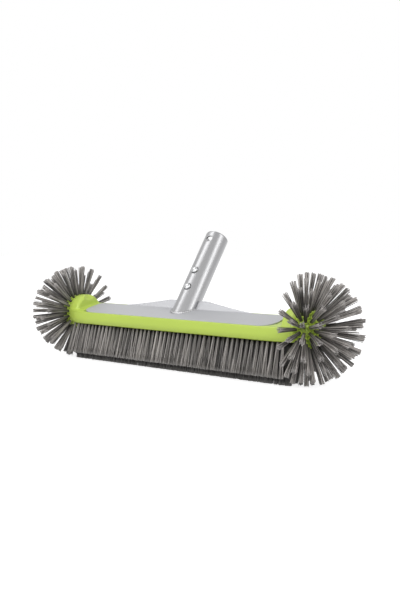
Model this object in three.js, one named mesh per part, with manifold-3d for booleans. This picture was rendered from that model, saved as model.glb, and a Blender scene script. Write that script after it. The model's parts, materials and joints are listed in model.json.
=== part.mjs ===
// Pool wall brush, in millimetres.
// X runs along the brush, Y points to the back, Z points up.
// The origin is on the floor under the middle of the centre bristle row.

import * as THREE from "three";
import { mergeVertices } from "three/addons/utils/BufferGeometryUtils.js";
import Module from "manifold-3d";

const wasm = await Module();
wasm.setup();

// ---------------------------------------------------------------- driving dimensions

const OVERALL_LENGTH = 444.5; // 17.5 in, over the round envelopes of both bristle balls
const BALL_RADIUS = 59; // reach of a bristle ball from its centre
const BRISTLE_HEIGHT = 47; // floor to the underside of the body
const CLEARANCE = 0.3; // gap between pieces that touch on the real brush

// Moulded body
const BODY_FRONT_Y = -28;
const REAR_FACE_SLOPE = 7.8; // rear face behind the rear lip, at the bottom
const FACE_HEIGHT = 15.4; // height of the front face
const REAR_LIP_DROP = 0.8; // rear lip below the fold of the plate
const REAR_LIP_WIDTH = 2.8;
const FRONT_LIP_WIDTH = 1.5; // body in front of the plate
const FRONT_LIP_GAP = 0.5; // shadow gap around the plate
const REAR_LIP_GAP = 2.4; // room for the bend of the plate
const BASE_THICKNESS = 10; // floor that holds the tufts
const POCKET_WALL = 6; // wall in front of and behind the pockets
const RIB_WIDTH = 16; // rib that carries a screw
const BASE_ROUND = 4; // rounding along the foot of the front face
const REAR_BASE_ROUND = 3;
const LIP_ROUND = 1.4; // rolled top edge of the front face
const NECK_LENGTH = 18; // stretch over which the body narrows into a flange
const NECK_HALF_WIDTH = 18; // half width of the body inside a flange
const NECK_BULGE = 6; // how far the narrowing starts before the end
const NECK_INSET = 1.5; // end of the bar inside the outer face of the flange

// Heads at the ends of the body
const DOME_RADIUS = 17.5;
const DOME_INSET = 2.75; // dome centre inboard of the ball centre
const DOME_STEP = 2; // flange face inboard of the dome centre
const FLANGE_RADIUS = 22.3;
const FLANGE_WIDTH = 15.5;
const FLANGE_ROUND = 3.5;
const SCOOP_RADIUS = 24; // dish in the inner side of a flange
const SCOOP_DEPTH = 5;
const SCOOP_DROP = 5; // bottom of the dish below the fold of the plate

// Back plate: a strip that rises to the rear and a wing bent up from it
const PLATE_THICKNESS = 2;
const PLATE_WIDTH = 40.2; // front edge to fold, along the slope
const PLATE_SLOPE = 10.6; // degrees
const PLATE_PROUD = 0.2; // plate top above the front lip
const PLATE_END_GAP = 8; // plate end to the flange
const PLATE_FRONT_ROUND = 20;
const PLATE_REAR_ROUND = 7;
const RECESS_FRONT_ROUND = 17;
const WING_HEIGHT = 12; // along the slope of the tube
const WING_TOP_HALF = 27;
const WING_FOOT_HALF = 88;
const WING_EDGE = 0.3; // height left at the tapered ends of the wing

// Handle tube
const TUBE_RADIUS = 14.3; // 1-1/8 in outside diameter
const TUBE_WALL = 1.6;
const TUBE_SIDES = 30;
const TUBE_LEAN = 39.3; // degrees back from upright
const TUBE_LENGTH = 108; // fold of the plate to the far end, along the axis
const PIN_HOLE_RADIUS = 4.3;
const PIN_HOLE_FROM_END = 11.5;
const LOWER_BUTTON_AT = 23; // along the axis, from the fold
const BUTTON_PITCH = 24.5;
const WELD_RADIUS = 2.1;
const WELD_START = 4; // side beads start this far up the tube, clear of the rear lip
const WELD_STOP = 1; // and end this far below the top of the wing
const WELD_TURN = 1.06; // front bead, in half turns round the tube

// Spring clip with its snap buttons
const STRIP_WIDTH = 9;
const STRIP_THICKNESS = 1;
const STRIP_OFFSET = 1.95; // middle of a leg to the inside of the tube
const LEG_TAIL = 6; // leg below its lower button
const LEG_HEAD = 30; // upper button to the hinge line of the leg
const BUTTON_RADIUS = 4.2;
const BUTTON_PROUD = 3.1; // above the outside of the tube
const BUTTON_HOLE_CLEARANCE = 0.5;
const BUTTON_SHOULDER = 0.4; // straight side of a button above the outside of the tube
const RIVET_RADIUS = 1.2;
const RIVET_TAIL_RADIUS = 2.3;
const RIVET_TAIL_HEIGHT = 0.9;

// Screws and press nuts that hold the plate
const SCREW_FIRST_X = 38;
const SCREW_SPACING = 76;
const SCREW_Y = -5.4;
const SCREW_RADIUS = 1.5;
const SCREW_HEAD_RADIUS = 2.6;
const SCREW_HEAD_HEIGHT = 1.8;
const NUT_RADIUS = 3.4;
const NUT_HEIGHT = 3;

// Bristle rows
const TUFT_PITCH = 6;
const ROW_THICKNESS = 3.4;
const ROW_END_MARGIN = 11.5; // last tuft to the outer face of the flange
const ROW_END_FLARE = 6.5; // how far the end tufts lean outwards at their tips
const TUFT_ROOT_HALF = 1.6;
const TUFT_SPLIT = 0.6; // share of the length over which the tufts stand apart
const ROW_SPACING = 10.75;
const TRIM = 3; // rows that stand on the floor are cut from tufts this much longer
const ROWS = [
  { name: "bristle_row_front", place: -2, splay: -15.5, tipHeight: 11 },
  { name: "bristle_row_front_inner", place: -1, splay: -4, tipHeight: 0 },
  { name: "bristle_row_centre", place: 0, splay: 0, tipHeight: 0 },
  { name: "bristle_row_rear_inner", place: 1, splay: 4, tipHeight: 0 },
  { name: "bristle_row_rear", place: 2, splay: 15.5, tipHeight: 11 },
];

// Rings of tufts on a dome: angle from the dome's axis, number of tufts, and turn of the
// first one, in degrees up from the front.
const RING_TUFT_ROOT = 1.4; // half width of a tuft at its root
const RING_TUFT_TIP = 2.4;
const RING_CORE_HEIGHT = 2; // band that joins the roots
const RINGS = [
  { angle: 91.5, count: 20, first: 5 },
  { angle: 80.5, count: 20, first: 14 },
  { angle: 68, count: 19, first: 12 },
  { angle: 52, count: 17, first: 14 },
  { angle: 37, count: 13, first: 3 },
  { angle: 22.5, count: 8, first: 18 },
  { angle: 8, count: 3, first: 110 },
];

// ---------------------------------------------------------------- derived dimensions

const radians = THREE.MathUtils.degToRad;
const FAR = 600; // larger than the brush, for cutting blocks

const ballX = OVERALL_LENGTH / 2 - BALL_RADIUS;
const domeX = ballX - DOME_INSET;
const flangeOuterX = domeX - DOME_STEP;
const flangeInnerX = flangeOuterX - FLANGE_WIDTH;
const headZ = BALL_RADIUS;
const faceTopZ = BRISTLE_HEIGHT + FACE_HEIGHT;

const slope = radians(PLATE_SLOPE);
const plateHalf = flangeInnerX - PLATE_END_GAP;
const foldY = BODY_FRONT_Y + FRONT_LIP_WIDTH + PLATE_WIDTH * Math.cos(slope);
const foldZ = faceTopZ + PLATE_PROUD + PLATE_WIDTH * Math.sin(slope);
const plateTopZ = (y) => foldZ + (y - foldY) * Math.tan(slope);
const rearLipY = foldY + REAR_LIP_GAP + REAR_LIP_WIDTH;
const rearY = rearLipY + REAR_FACE_SLOPE;

const lean = radians(TUBE_LEAN);
const boreRadius = TUBE_RADIUS - TUBE_WALL;
const upperButtonAt = LOWER_BUTTON_AT + BUTTON_PITCH;
const pinHoleAt = TUBE_LENGTH - PIN_HOLE_FROM_END;
const legOffset = boreRadius - STRIP_OFFSET;
const hingeAt = upperButtonAt + LEG_HEAD;

const nutTopZ = plateTopZ(SCREW_Y) - PLATE_THICKNESS - 3 * CLEARANCE;
const tuftsPerSide = Math.floor((flangeOuterX - ROW_END_MARGIN) / TUFT_PITCH + 0.5);

// ---------------------------------------------------------------- materials

const material = (color, roughness, metalness) =>
  new THREE.MeshStandardMaterial({ color, roughness, metalness });

const limePlastic = material(0xa9cf1f, 0.42, 0);
const satinAluminium = material(0xb4b6ba, 0.4, 1);
const drawnAluminium = material(0xc6c8cb, 0.28, 1);
const springSteel = material(0x9a9c9e, 0.3, 1);
const buttonSteel = material(0xd0d2d4, 0.25, 1);
const zincSteel = material(0x8f9296, 0.4, 1);
const greyNylon = material(0x6b6866, 0.6, 0);

// ---------------------------------------------------------------- solid helpers

/** Turns a closed geometry into a manifold solid. */
function solidOf(geometry) {
  const bare = geometry.clone();
  bare.deleteAttribute("normal");
  bare.deleteAttribute("uv");
  const merged = mergeVertices(bare, 1e-4);
  const vertProperties = new Float32Array(merged.attributes.position.array);
  const triVerts = new Uint32Array(merged.index.array);
  return new wasm.Manifold(new wasm.Mesh({ numProp: 3, vertProperties, triVerts }));
}

/** Turns a manifold solid back into a three.js geometry. */
function geometryOf(solid) {
  const mesh = solid.getMesh();
  const geometry = new THREE.BufferGeometry();
  geometry.setAttribute("position", new THREE.BufferAttribute(new Float32Array(mesh.vertProperties), 3));
  geometry.setIndex(new THREE.BufferAttribute(new Uint32Array(mesh.triVerts), 1));
  geometry.computeVertexNormals();
  return geometry;
}

function joined(solids) {
  return solids.reduce((whole, next) => whole.add(next));
}

function named(name, geometry, finish) {
  const mesh = new THREE.Mesh(geometry, finish);
  mesh.name = name;
  return mesh;
}

/** A box given by its lowest and highest corners. */
function block(low, high) {
  const size = high.map((value, axis) => value - low[axis]);
  const box = new THREE.BoxGeometry(...size);
  return box.translate(...low.map((value, axis) => value + size[axis] / 2));
}

/** Extrudes an outline by a thickness, from -thickness to 0. */
function sheet(outline, thickness, curveSegments = 6) {
  const options = { depth: thickness, bevelEnabled: false, curveSegments };
  return new THREE.ExtrudeGeometry(outline, options).translate(0, 0, -thickness);
}

/** Extrudes an outline drawn in (Y, Z) along X, from -half to +half. */
function bar(outline, half, curveSegments = 4) {
  const options = { depth: 2 * half, bevelEnabled: false, curveSegments };
  const geometry = new THREE.ExtrudeGeometry(outline, options).translate(0, 0, -half);
  const axes = new THREE.Matrix4().makeBasis(
    new THREE.Vector3(0, 1, 0),
    new THREE.Vector3(0, 0, 1),
    new THREE.Vector3(1, 0, 0),
  );
  return geometry.applyMatrix4(axes);
}

/** An upright cylinder between two heights. */
function post(x, y, radius, low, high, sides = 10) {
  const cylinder = new THREE.CylinderGeometry(radius, radius, high - low, sides);
  return cylinder.rotateX(Math.PI / 2).translate(x, y, (low + high) / 2);
}

// Frames of the sloping plate and of the leaning handle.
const plateFrame = new THREE.Matrix4()
  .makeTranslation(0, foldY, foldZ)
  .multiply(new THREE.Matrix4().makeRotationX(slope));
const handleOrigin = new THREE.Vector3(
  0,
  foldY + (PLATE_THICKNESS / 2) * Math.cos(lean),
  foldZ - (PLATE_THICKNESS / 2) * Math.sin(lean),
);
const handleFrame = new THREE.Matrix4()
  .makeTranslation(handleOrigin.x, handleOrigin.y, handleOrigin.z)
  .multiply(new THREE.Matrix4().makeRotationX(-lean));
const intoHandle = handleFrame.clone().invert();

// ---------------------------------------------------------------- brush body

/** Section of the body across its length, in (Y, Z). */
function bodySection() {
  const bottom = BRISTLE_HEIGHT;
  const rearLipZ = foldZ - REAR_LIP_DROP;
  const middle = (bottom + faceTopZ) / 2;
  const section = new THREE.Shape();
  section.moveTo(BODY_FRONT_Y + BASE_ROUND, bottom);
  section.quadraticCurveTo(BODY_FRONT_Y, bottom, BODY_FRONT_Y, middle);
  section.lineTo(BODY_FRONT_Y, faceTopZ - LIP_ROUND);
  section.quadraticCurveTo(BODY_FRONT_Y, faceTopZ, BODY_FRONT_Y + LIP_ROUND / 2, faceTopZ);
  section.lineTo(rearLipY, rearLipZ);
  section.quadraticCurveTo(rearY, rearLipZ, rearY, middle);
  section.quadraticCurveTo(rearY, bottom, rearY - REAR_BASE_ROUND, bottom);
  section.closePath();
  return section;
}

/** Plan of the body, which narrows into the round flanges. */
function bodyPlan() {
  const end = flangeOuterX - NECK_INSET;
  const start = flangeInnerX - NECK_LENGTH;
  const bulge = end - NECK_BULGE;
  const front = BODY_FRONT_Y - CLEARANCE;
  const rear = rearY + CLEARANCE;
  const plan = new THREE.Shape();
  plan.moveTo(-start, front);
  plan.lineTo(start, front);
  plan.quadraticCurveTo(bulge, front, end, -NECK_HALF_WIDTH);
  plan.lineTo(end, NECK_HALF_WIDTH);
  plan.quadraticCurveTo(bulge, rear, start, rear);
  plan.lineTo(-start, rear);
  plan.quadraticCurveTo(-bulge, rear, -end, NECK_HALF_WIDTH);
  plan.lineTo(-end, -NECK_HALF_WIDTH);
  plan.quadraticCurveTo(-bulge, front, -start, front);
  return plan;
}

/** Outline with its own corner radii at the front and at the rear, in (X, distance from the fold). */
function roundedStrip(half, front, rear, frontRound, rearRound) {
  const strip = new THREE.Shape();
  strip.moveTo(-half + frontRound, front);
  strip.lineTo(half - frontRound, front);
  strip.absarc(half - frontRound, front + frontRound, frontRound, -Math.PI / 2, 0);
  strip.lineTo(half, rear - rearRound);
  strip.absarc(half - rearRound, rear - rearRound, rearRound, 0, Math.PI / 2);
  strip.lineTo(-half + rearRound, rear);
  strip.absarc(-half + rearRound, rear - rearRound, rearRound, Math.PI / 2, Math.PI);
  strip.lineTo(-half, front + frontRound);
  strip.absarc(-half + frontRound, front + frontRound, frontRound, Math.PI, 1.5 * Math.PI);
  return strip;
}

/** Round flange and dome of the head on one side (side is 1 or -1). */
function headSolid(side) {
  const inner = flangeInnerX;
  const outer = flangeOuterX;
  const profile = new THREE.Path();
  profile.moveTo(0, inner);
  profile.lineTo(FLANGE_RADIUS - FLANGE_ROUND, inner);
  profile.quadraticCurveTo(FLANGE_RADIUS, inner, FLANGE_RADIUS, inner + FLANGE_ROUND);
  profile.lineTo(FLANGE_RADIUS, outer - FLANGE_ROUND);
  profile.quadraticCurveTo(FLANGE_RADIUS, outer, FLANGE_RADIUS - FLANGE_ROUND, outer);
  profile.lineTo(0, outer);
  const flange = new THREE.LatheGeometry(profile.getPoints(2), 28);
  flange.rotateZ(-Math.PI / 2).translate(0, 0, headZ);
  const dome = new THREE.SphereGeometry(DOME_RADIUS, 16, 10).translate(domeX, 0, headZ);
  const underside = block([0, -FAR, -FAR], [outer + CLEARANCE, FAR, BRISTLE_HEIGHT]);
  const head = solidOf(flange).add(solidOf(dome)).subtract(solidOf(underside));
  return side > 0 ? head : head.rotate([0, 0, 180]);
}

/** Ball that dishes the inner side of a flange. */
function scoopSolid(side) {
  const x = flangeInnerX + SCOOP_DEPTH - SCOOP_RADIUS;
  const z = foldZ - SCOOP_DROP + SCOOP_RADIUS;
  return solidOf(new THREE.SphereGeometry(SCOOP_RADIUS, 20, 14).translate(side * x, 0, z));
}

function screwPositions() {
  const last = SCREW_FIRST_X + SCREW_SPACING;
  return [-last, -SCREW_FIRST_X, SCREW_FIRST_X, last];
}

/** Pockets that lighten the body between the screw ribs, under the plate. */
function pocketSolids() {
  const screws = screwPositions();
  const low = BRISTLE_HEIGHT + BASE_THICKNESS;
  const front = BODY_FRONT_Y + POCKET_WALL;
  const rear = foldY - POCKET_WALL / 2;
  return screws.slice(1).map((x, index) => {
    const start = screws[index] + RIB_WIDTH / 2;
    const end = x - RIB_WIDTH / 2;
    return solidOf(block([start, front, low], [end, rear, FAR]));
  });
}

function brushBody() {
  const barSolid = solidOf(bar(bodySection(), flangeOuterX - 1));
  const planSolid = solidOf(sheet(bodyPlan(), FAR).translate(0, 0, FAR / 2));
  let body = barSolid.intersect(planSolid);
  body = joined([body, headSolid(1), headSolid(-1)]);

  const recess = roundedStrip(
    plateHalf + FRONT_LIP_GAP,
    -PLATE_WIDTH - FRONT_LIP_GAP,
    REAR_LIP_GAP,
    RECESS_FRONT_ROUND,
    PLATE_REAR_ROUND,
  );
  const recessDepth = PLATE_THICKNESS + CLEARANCE;
  const room = SCOOP_RADIUS; // above the plate
  const recessGeometry = sheet(recess, recessDepth + room).translate(0, 0, room);
  body = body.subtract(solidOf(recessGeometry.applyMatrix4(plateFrame)));
  body = body.subtract(scoopSolid(1)).subtract(scoopSolid(-1));
  pocketSolids().forEach((pocket) => {
    body = body.subtract(pocket);
  });

  screwPositions().forEach((x) => {
    const bottom = BRISTLE_HEIGHT;
    const headTop = bottom + SCREW_HEAD_HEIGHT + 2 * CLEARANCE;
    const shank = post(x, SCREW_Y, SCREW_RADIUS + CLEARANCE, 0, foldZ);
    const sink = post(x, SCREW_Y, SCREW_HEAD_RADIUS + CLEARANCE, 0, headTop);
    const nutFloor = nutTopZ - NUT_HEIGHT - CLEARANCE;
    const seat = post(x, SCREW_Y, NUT_RADIUS + CLEARANCE, nutFloor, foldZ);
    body = body.subtract(joined([solidOf(shank), solidOf(sink), solidOf(seat)]));
  });
  return named("brush_body", geometryOf(body), limePlastic);
}

// ---------------------------------------------------------------- back plate

/** Outline of one half of the wing, in (X, distance up the slope of the tube). */
function wingOutline(side) {
  const inner = TUBE_RADIUS + CLEARANCE;
  const root = -0.3 * PLATE_THICKNESS;
  const slant = (WING_FOOT_HALF - WING_TOP_HALF) / 3;
  const wing = new THREE.Shape();
  wing.moveTo(side * inner, root);
  wing.lineTo(side * inner, WING_HEIGHT);
  wing.lineTo(side * WING_TOP_HALF, WING_HEIGHT);
  wing.bezierCurveTo(
    side * (WING_TOP_HALF + slant),
    WING_HEIGHT,
    side * (WING_FOOT_HALF - slant),
    WING_EDGE,
    side * WING_FOOT_HALF,
    WING_EDGE,
  );
  wing.lineTo(side * WING_FOOT_HALF, root);
  wing.closePath();
  return wing;
}

function backPlate() {
  const outline = roundedStrip(plateHalf, -PLATE_WIDTH, 0, PLATE_FRONT_ROUND, PLATE_REAR_ROUND);
  const strip = sheet(outline, PLATE_THICKNESS).applyMatrix4(plateFrame);
  const wingFrame = new THREE.Matrix4()
    .makeTranslation(0, foldY, foldZ)
    .multiply(new THREE.Matrix4().makeRotationX(Math.PI / 2 - lean));
  const wings = [-1, 1].map((side) => {
    const wing = sheet(wingOutline(side), PLATE_THICKNESS, 8);
    return solidOf(wing.applyMatrix4(wingFrame));
  });
  return named("back_plate", geometryOf(joined([solidOf(strip), ...wings])), satinAluminium);
}

// ---------------------------------------------------------------- handle tube

/** Everything below the top of the plate and, behind the fold, below the level of the fold. */
function footCutter() {
  const underPlate = block([-FAR, -FAR, -FAR], [FAR, FAR, CLEARANCE]).applyMatrix4(plateFrame);
  const underFold = block([-FAR, -FAR, -FAR], [FAR, FAR, foldZ + CLEARANCE]);
  return solidOf(underPlate).intersect(solidOf(underFold));
}

/** A cylinder across the tube, through both walls, at a distance along the axis. */
function crossHole(along, radius) {
  const length = 2 * TUBE_RADIUS + 10;
  return new THREE.CylinderGeometry(radius, radius, length, 14).translate(0, 0, along);
}

function alongHandle(low, high, radius, sides) {
  const cylinder = new THREE.CylinderGeometry(radius, radius, high - low, sides);
  return cylinder.rotateX(Math.PI / 2).translate(0, 0, (low + high) / 2);
}

function handleTube() {
  const footRoom = 2 * TUBE_RADIUS;
  const outside = solidOf(alongHandle(-footRoom, TUBE_LENGTH, TUBE_RADIUS, TUBE_SIDES));
  const inside = solidOf(alongHandle(-footRoom - 1, TUBE_LENGTH + 1, boreRadius, TUBE_SIDES));
  let tube = outside.subtract(inside);
  tube = tube.subtract(solidOf(crossHole(pinHoleAt, PIN_HOLE_RADIUS)));
  [LOWER_BUTTON_AT, upperButtonAt].forEach((along) => {
    tube = tube.subtract(solidOf(crossHole(along, BUTTON_RADIUS + BUTTON_HOLE_CLEARANCE)));
  });
  const cutter = solidOf(geometryOf(footCutter()).applyMatrix4(intoHandle));
  return named("handle_tube", geometryOf(tube.subtract(cutter)), drawnAluminium);
}

// ---------------------------------------------------------------- weld beads

/** Curve where the outside of the tube meets the top of the plate. */
class FootCurve extends THREE.Curve {
  getPoint(share, target = new THREE.Vector3()) {
    const angle = Math.PI * (0.5 + WELD_TURN * (0.5 - share));
    const radius = TUBE_RADIUS + CLEARANCE;
    const across = radius * Math.cos(angle);
    const forward = radius * Math.sin(angle) - PLATE_THICKNESS / 2;
    const along = -forward * Math.tan(lean + slope);
    return target.set(across, -forward - PLATE_THICKNESS / 2, along).applyMatrix4(handleFrame);
  }
}

/** The tube as a solid rod with room around it, in the brush frame. */
function tubeEnvelope() {
  const rod = alongHandle(-3 * TUBE_RADIUS, TUBE_LENGTH, TUBE_RADIUS + CLEARANCE, TUBE_SIDES);
  return solidOf(rod.applyMatrix4(handleFrame));
}

function frontWeld() {
  const section = new THREE.Shape();
  section.absarc(0, 0, WELD_RADIUS, 0, 2 * Math.PI);
  const options = { steps: 14, extrudePath: new FootCurve(), bevelEnabled: false, curveSegments: 5 };
  const bead = solidOf(new THREE.ExtrudeGeometry(section, options));
  const plate = solidOf(block([-FAR, -FAR, -FAR], [FAR, FAR, CLEARANCE]).applyMatrix4(plateFrame));
  const wing = solidOf(
    block([-FAR, -PLATE_THICKNESS / 2 - CLEARANCE, -FAR], [FAR, FAR, FAR]).applyMatrix4(handleFrame),
  );
  const cut = bead.subtract(plate).subtract(tubeEnvelope()).subtract(wing);
  return named("weld_bead_front", geometryOf(cut), drawnAluminium);
}

/** Upright bead behind the wing, along the side of the tube. */
function sideWeld(side, name) {
  const behind = PLATE_THICKNESS / 2 + CLEARANCE;
  const bead = alongHandle(WELD_START, WING_HEIGHT - WELD_STOP, WELD_RADIUS, 10);
  bead.translate(side * (TUBE_RADIUS + CLEARANCE), behind, 0).applyMatrix4(handleFrame);
  const wing = solidOf(block([-FAR, -FAR, -FAR], [FAR, behind, FAR]).applyMatrix4(handleFrame));
  const cut = solidOf(bead).subtract(wing).subtract(tubeEnvelope());
  return named(name, geometryOf(cut), drawnAluminium);
}

// ---------------------------------------------------------------- spring clip

/** The bend that joins the two legs, in the handle frame. */
function clipBend() {
  const outer = legOffset + STRIP_THICKNESS / 2;
  const inner = legOffset - STRIP_THICKNESS / 2;
  const bend = new THREE.Shape();
  bend.absarc(0, 0, outer, 0, Math.PI);
  bend.lineTo(-inner, 0);
  bend.absarc(0, 0, inner, Math.PI, 0, true);
  bend.closePath();
  const options = { depth: STRIP_WIDTH, bevelEnabled: false, curveSegments: 12 };
  const geometry = new THREE.ExtrudeGeometry(bend, options).translate(0, 0, -STRIP_WIDTH / 2);
  geometry.rotateX(Math.PI / 2).rotateZ(Math.PI / 2).translate(0, 0, hingeAt);
  return named("clip_bend", geometry, springSteel);
}

/** One leg of the clip: side is -1 at the front and 1 at the back. */
function clipLeg(side, name) {
  const low = LOWER_BUTTON_AT - LEG_TAIL;
  const high = hingeAt - CLEARANCE;
  const half = STRIP_THICKNESS / 2;
  const middle = side * legOffset;
  let leg = solidOf(block([-STRIP_WIDTH / 2, middle - half, low], [STRIP_WIDTH / 2, middle + half, high]));
  [LOWER_BUTTON_AT, upperButtonAt].forEach((along) => {
    leg = leg.subtract(solidOf(crossHole(along, RIVET_RADIUS + CLEARANCE)));
  });
  return named(name, geometryOf(leg), springSteel);
}

/** Domed button with a rivet through the leg, pointing out of the tube. */
function snapButton(side, along, name) {
  const legInner = legOffset - STRIP_THICKNESS / 2 - CLEARANCE;
  const legOuter = legOffset + STRIP_THICKNESS / 2 + CLEARANCE;
  const shoulder = TUBE_RADIUS + BUTTON_SHOULDER;
  const top = TUBE_RADIUS + BUTTON_PROUD;
  const profile = new THREE.Path();
  profile.moveTo(0, legInner - RIVET_TAIL_HEIGHT);
  profile.lineTo(RIVET_TAIL_RADIUS, legInner - RIVET_TAIL_HEIGHT);
  profile.lineTo(RIVET_TAIL_RADIUS, legInner);
  profile.lineTo(RIVET_RADIUS, legInner);
  profile.lineTo(RIVET_RADIUS, legOuter);
  profile.lineTo(BUTTON_RADIUS, legOuter);
  profile.lineTo(BUTTON_RADIUS, shoulder);
  profile.quadraticCurveTo(BUTTON_RADIUS * 0.9, top, 0, top);
  const geometry = new THREE.LatheGeometry(profile.getPoints(3), 12);
  if (side < 0) geometry.rotateX(Math.PI);
  return named(name, geometry.translate(0, 0, along), buttonSteel);
}

function handleGroup() {
  const handle = new THREE.Group();
  handle.position.copy(handleOrigin);
  handle.rotation.x = -lean;
  handle.add(
    handleTube(),
    clipBend(),
    clipLeg(-1, "clip_leg_front"),
    clipLeg(1, "clip_leg_rear"),
    snapButton(-1, LOWER_BUTTON_AT, "snap_button_front_lower"),
    snapButton(-1, upperButtonAt, "snap_button_front_upper"),
    snapButton(1, LOWER_BUTTON_AT, "snap_button_rear_lower"),
    snapButton(1, upperButtonAt, "snap_button_rear_upper"),
  );
  return handle;
}

// ---------------------------------------------------------------- screws and nuts

function plateScrew(x, name) {
  const headLow = BRISTLE_HEIGHT + CLEARANCE;
  const headTop = headLow + SCREW_HEAD_HEIGHT;
  const profile = [
    new THREE.Vector2(0, headLow),
    new THREE.Vector2(SCREW_HEAD_RADIUS, headLow),
    new THREE.Vector2(SCREW_HEAD_RADIUS, headTop),
    new THREE.Vector2(SCREW_RADIUS, headTop),
    new THREE.Vector2(SCREW_RADIUS, nutTopZ - CLEARANCE),
    new THREE.Vector2(0, nutTopZ - CLEARANCE),
  ];
  const screw = new THREE.LatheGeometry(profile, 10).rotateX(Math.PI / 2);
  return named(name, screw.translate(x, SCREW_Y, 0), zincSteel);
}

function plateNut(x, name) {
  const low = nutTopZ - NUT_HEIGHT;
  const bore = SCREW_RADIUS + CLEARANCE;
  const profile = [
    new THREE.Vector2(bore, low),
    new THREE.Vector2(NUT_RADIUS, low),
    new THREE.Vector2(NUT_RADIUS, nutTopZ),
    new THREE.Vector2(bore, nutTopZ),
    new THREE.Vector2(bore, low),
  ];
  const nut = new THREE.LatheGeometry(profile, 10).rotateX(Math.PI / 2);
  return named(name, nut.translate(x, SCREW_Y, 0), zincSteel);
}

function fasteners() {
  return screwPositions().flatMap((x, index) => [
    plateScrew(x, `plate_screw_${index + 1}`),
    plateNut(x, `plate_nut_${index + 1}`),
  ]);
}

// ---------------------------------------------------------------- bristles

/** Comb outline of a row: tufts stand apart at the root and meet towards the tips. */
function rowOutline(length) {
  const first = -(tuftsPerSide - 0.5) * TUFT_PITCH;
  const last = -first;
  const outline = new THREE.Shape();
  outline.moveTo(first - TUFT_ROOT_HALF, 0);
  outline.lineTo(first - TUFT_ROOT_HALF - ROW_END_FLARE, -length);
  outline.lineTo(last + TUFT_ROOT_HALF + ROW_END_FLARE, -length);
  for (let index = 2 * tuftsPerSide - 1; index >= 0; index -= 1) {
    const x = first + index * TUFT_PITCH;
    outline.lineTo(x + TUFT_ROOT_HALF, 0);
    outline.lineTo(x - TUFT_ROOT_HALF, 0);
    if (index > 0) outline.lineTo(x - TUFT_PITCH / 2, -TUFT_SPLIT * length);
  }
  return outline;
}

function bristleRow({ name, place, splay, tipHeight }) {
  const onFloor = tipHeight === 0;
  const drop = BRISTLE_HEIGHT - tipHeight + (onFloor ? TRIM : 0);
  const length = drop / Math.cos(radians(splay));
  const y = place * ROW_SPACING;
  const comb = sheet(rowOutline(length), ROW_THICKNESS).translate(0, 0, ROW_THICKNESS / 2);
  comb.rotateX(Math.PI / 2 + radians(splay)).translate(0, y, BRISTLE_HEIGHT);
  const overhang = block([-FAR, -FAR, BRISTLE_HEIGHT - CLEARANCE], [FAR, FAR, FAR]);
  let row = solidOf(comb).subtract(solidOf(overhang));
  if (onFloor) row = row.subtract(solidOf(block([-FAR, -FAR, -FAR], [FAR, FAR, 0])));
  return named(name, geometryOf(row), greyNylon);
}

/** Distance from the dome's centre to the ball's surface, in a given direction. */
function reach(direction) {
  const offset = DOME_INSET * direction.x;
  return offset + Math.sqrt(offset * offset + BALL_RADIUS ** 2 - DOME_INSET ** 2);
}

/** The twelve corners of a tuft, from root to tip: three levels of four, each front left first. */
function tuftCorners(tilt, turn) {
  const outward = new THREE.Vector3(
    Math.cos(tilt),
    -Math.sin(tilt) * Math.cos(turn),
    Math.sin(tilt) * Math.sin(turn),
  );
  const around = new THREE.Vector3(0, Math.sin(turn), Math.cos(turn));
  const across = new THREE.Vector3().crossVectors(outward, around);
  const rootAt = DOME_RADIUS + CLEARANCE;
  const tipAt = reach(outward);
  const growth = (RING_TUFT_TIP - RING_TUFT_ROOT) / (tipAt - rootAt);
  const signs = [[-1, -1], [1, -1], [1, 1], [-1, 1]];
  return [rootAt, rootAt + RING_CORE_HEIGHT, tipAt].flatMap((along) => {
    const half = RING_TUFT_ROOT + growth * (along - rootAt);
    return signs.map(([side, face]) =>
      outward
        .clone()
        .multiplyScalar(along)
        .addScaledVector(around, side * half)
        .addScaledVector(across, face * half),
    );
  });
}

/** One ring of tufts on the right-hand dome, joined by a thin core at the roots. */
function tuftRing(angle, count, first) {
  const corners = [];
  const faces = [];
  const quad = (a, b, c, d) => faces.push(a, b, c, a, c, d);
  for (let index = 0; index < count; index += 1) {
    corners.push(...tuftCorners(radians(angle), radians(first + (index * 360) / count)));
    const root = 12 * index;
    const core = root + 4;
    const tip = root + 8;
    quad(root, root + 3, root + 2, root + 1);
    quad(tip, tip + 1, tip + 2, tip + 3);
    quad(root, root + 1, core + 1, core);
    quad(core, core + 1, tip + 1, tip);
    quad(root + 2, root + 3, core + 3, core + 2);
    quad(core + 2, core + 3, tip + 3, tip + 2);
    quad(core + 1, core + 2, tip + 2, tip + 1);
    quad(core + 3, core, tip, tip + 3);
    const next = 12 * ((index + 1) % count);
    quad(root + 1, next, next + 4, core + 1);
    quad(next + 3, root + 2, core + 2, next + 7);
    quad(core + 1, next + 4, next + 7, core + 2);
    quad(root + 2, next + 3, next, root + 1);
  }
  const geometry = new THREE.BufferGeometry().setFromPoints(corners).setIndex(faces);
  geometry.computeVertexNormals();
  return geometry;
}

/** The rings on one dome. The left ball is turned round, and mirrors the right one. */
function bristleBall(side, label) {
  const ball = new THREE.Group();
  ball.position.set(side * domeX, 0, headZ);
  ball.rotation.z = side > 0 ? 0 : Math.PI;
  RINGS.forEach(({ angle, count, first }, index) => {
    const start = side > 0 ? first : 180 - first;
    ball.add(named(`ball_${label}_ring_${index + 1}`, tuftRing(angle, count, start), greyNylon));
  });
  return ball;
}

// ---------------------------------------------------------------- assembly

const brush = new THREE.Group();
brush.add(brushBody(), backPlate(), handleGroup());
brush.add(frontWeld(), sideWeld(-1, "weld_bead_left"), sideWeld(1, "weld_bead_right"));
brush.add(...fasteners());
brush.add(...ROWS.map(bristleRow));
brush.add(bristleBall(-1, "left"), bristleBall(1, "right"));

export default brush;
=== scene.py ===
"""Pool wall brush: its finished look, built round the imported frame. Metres, Z up."""

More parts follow.
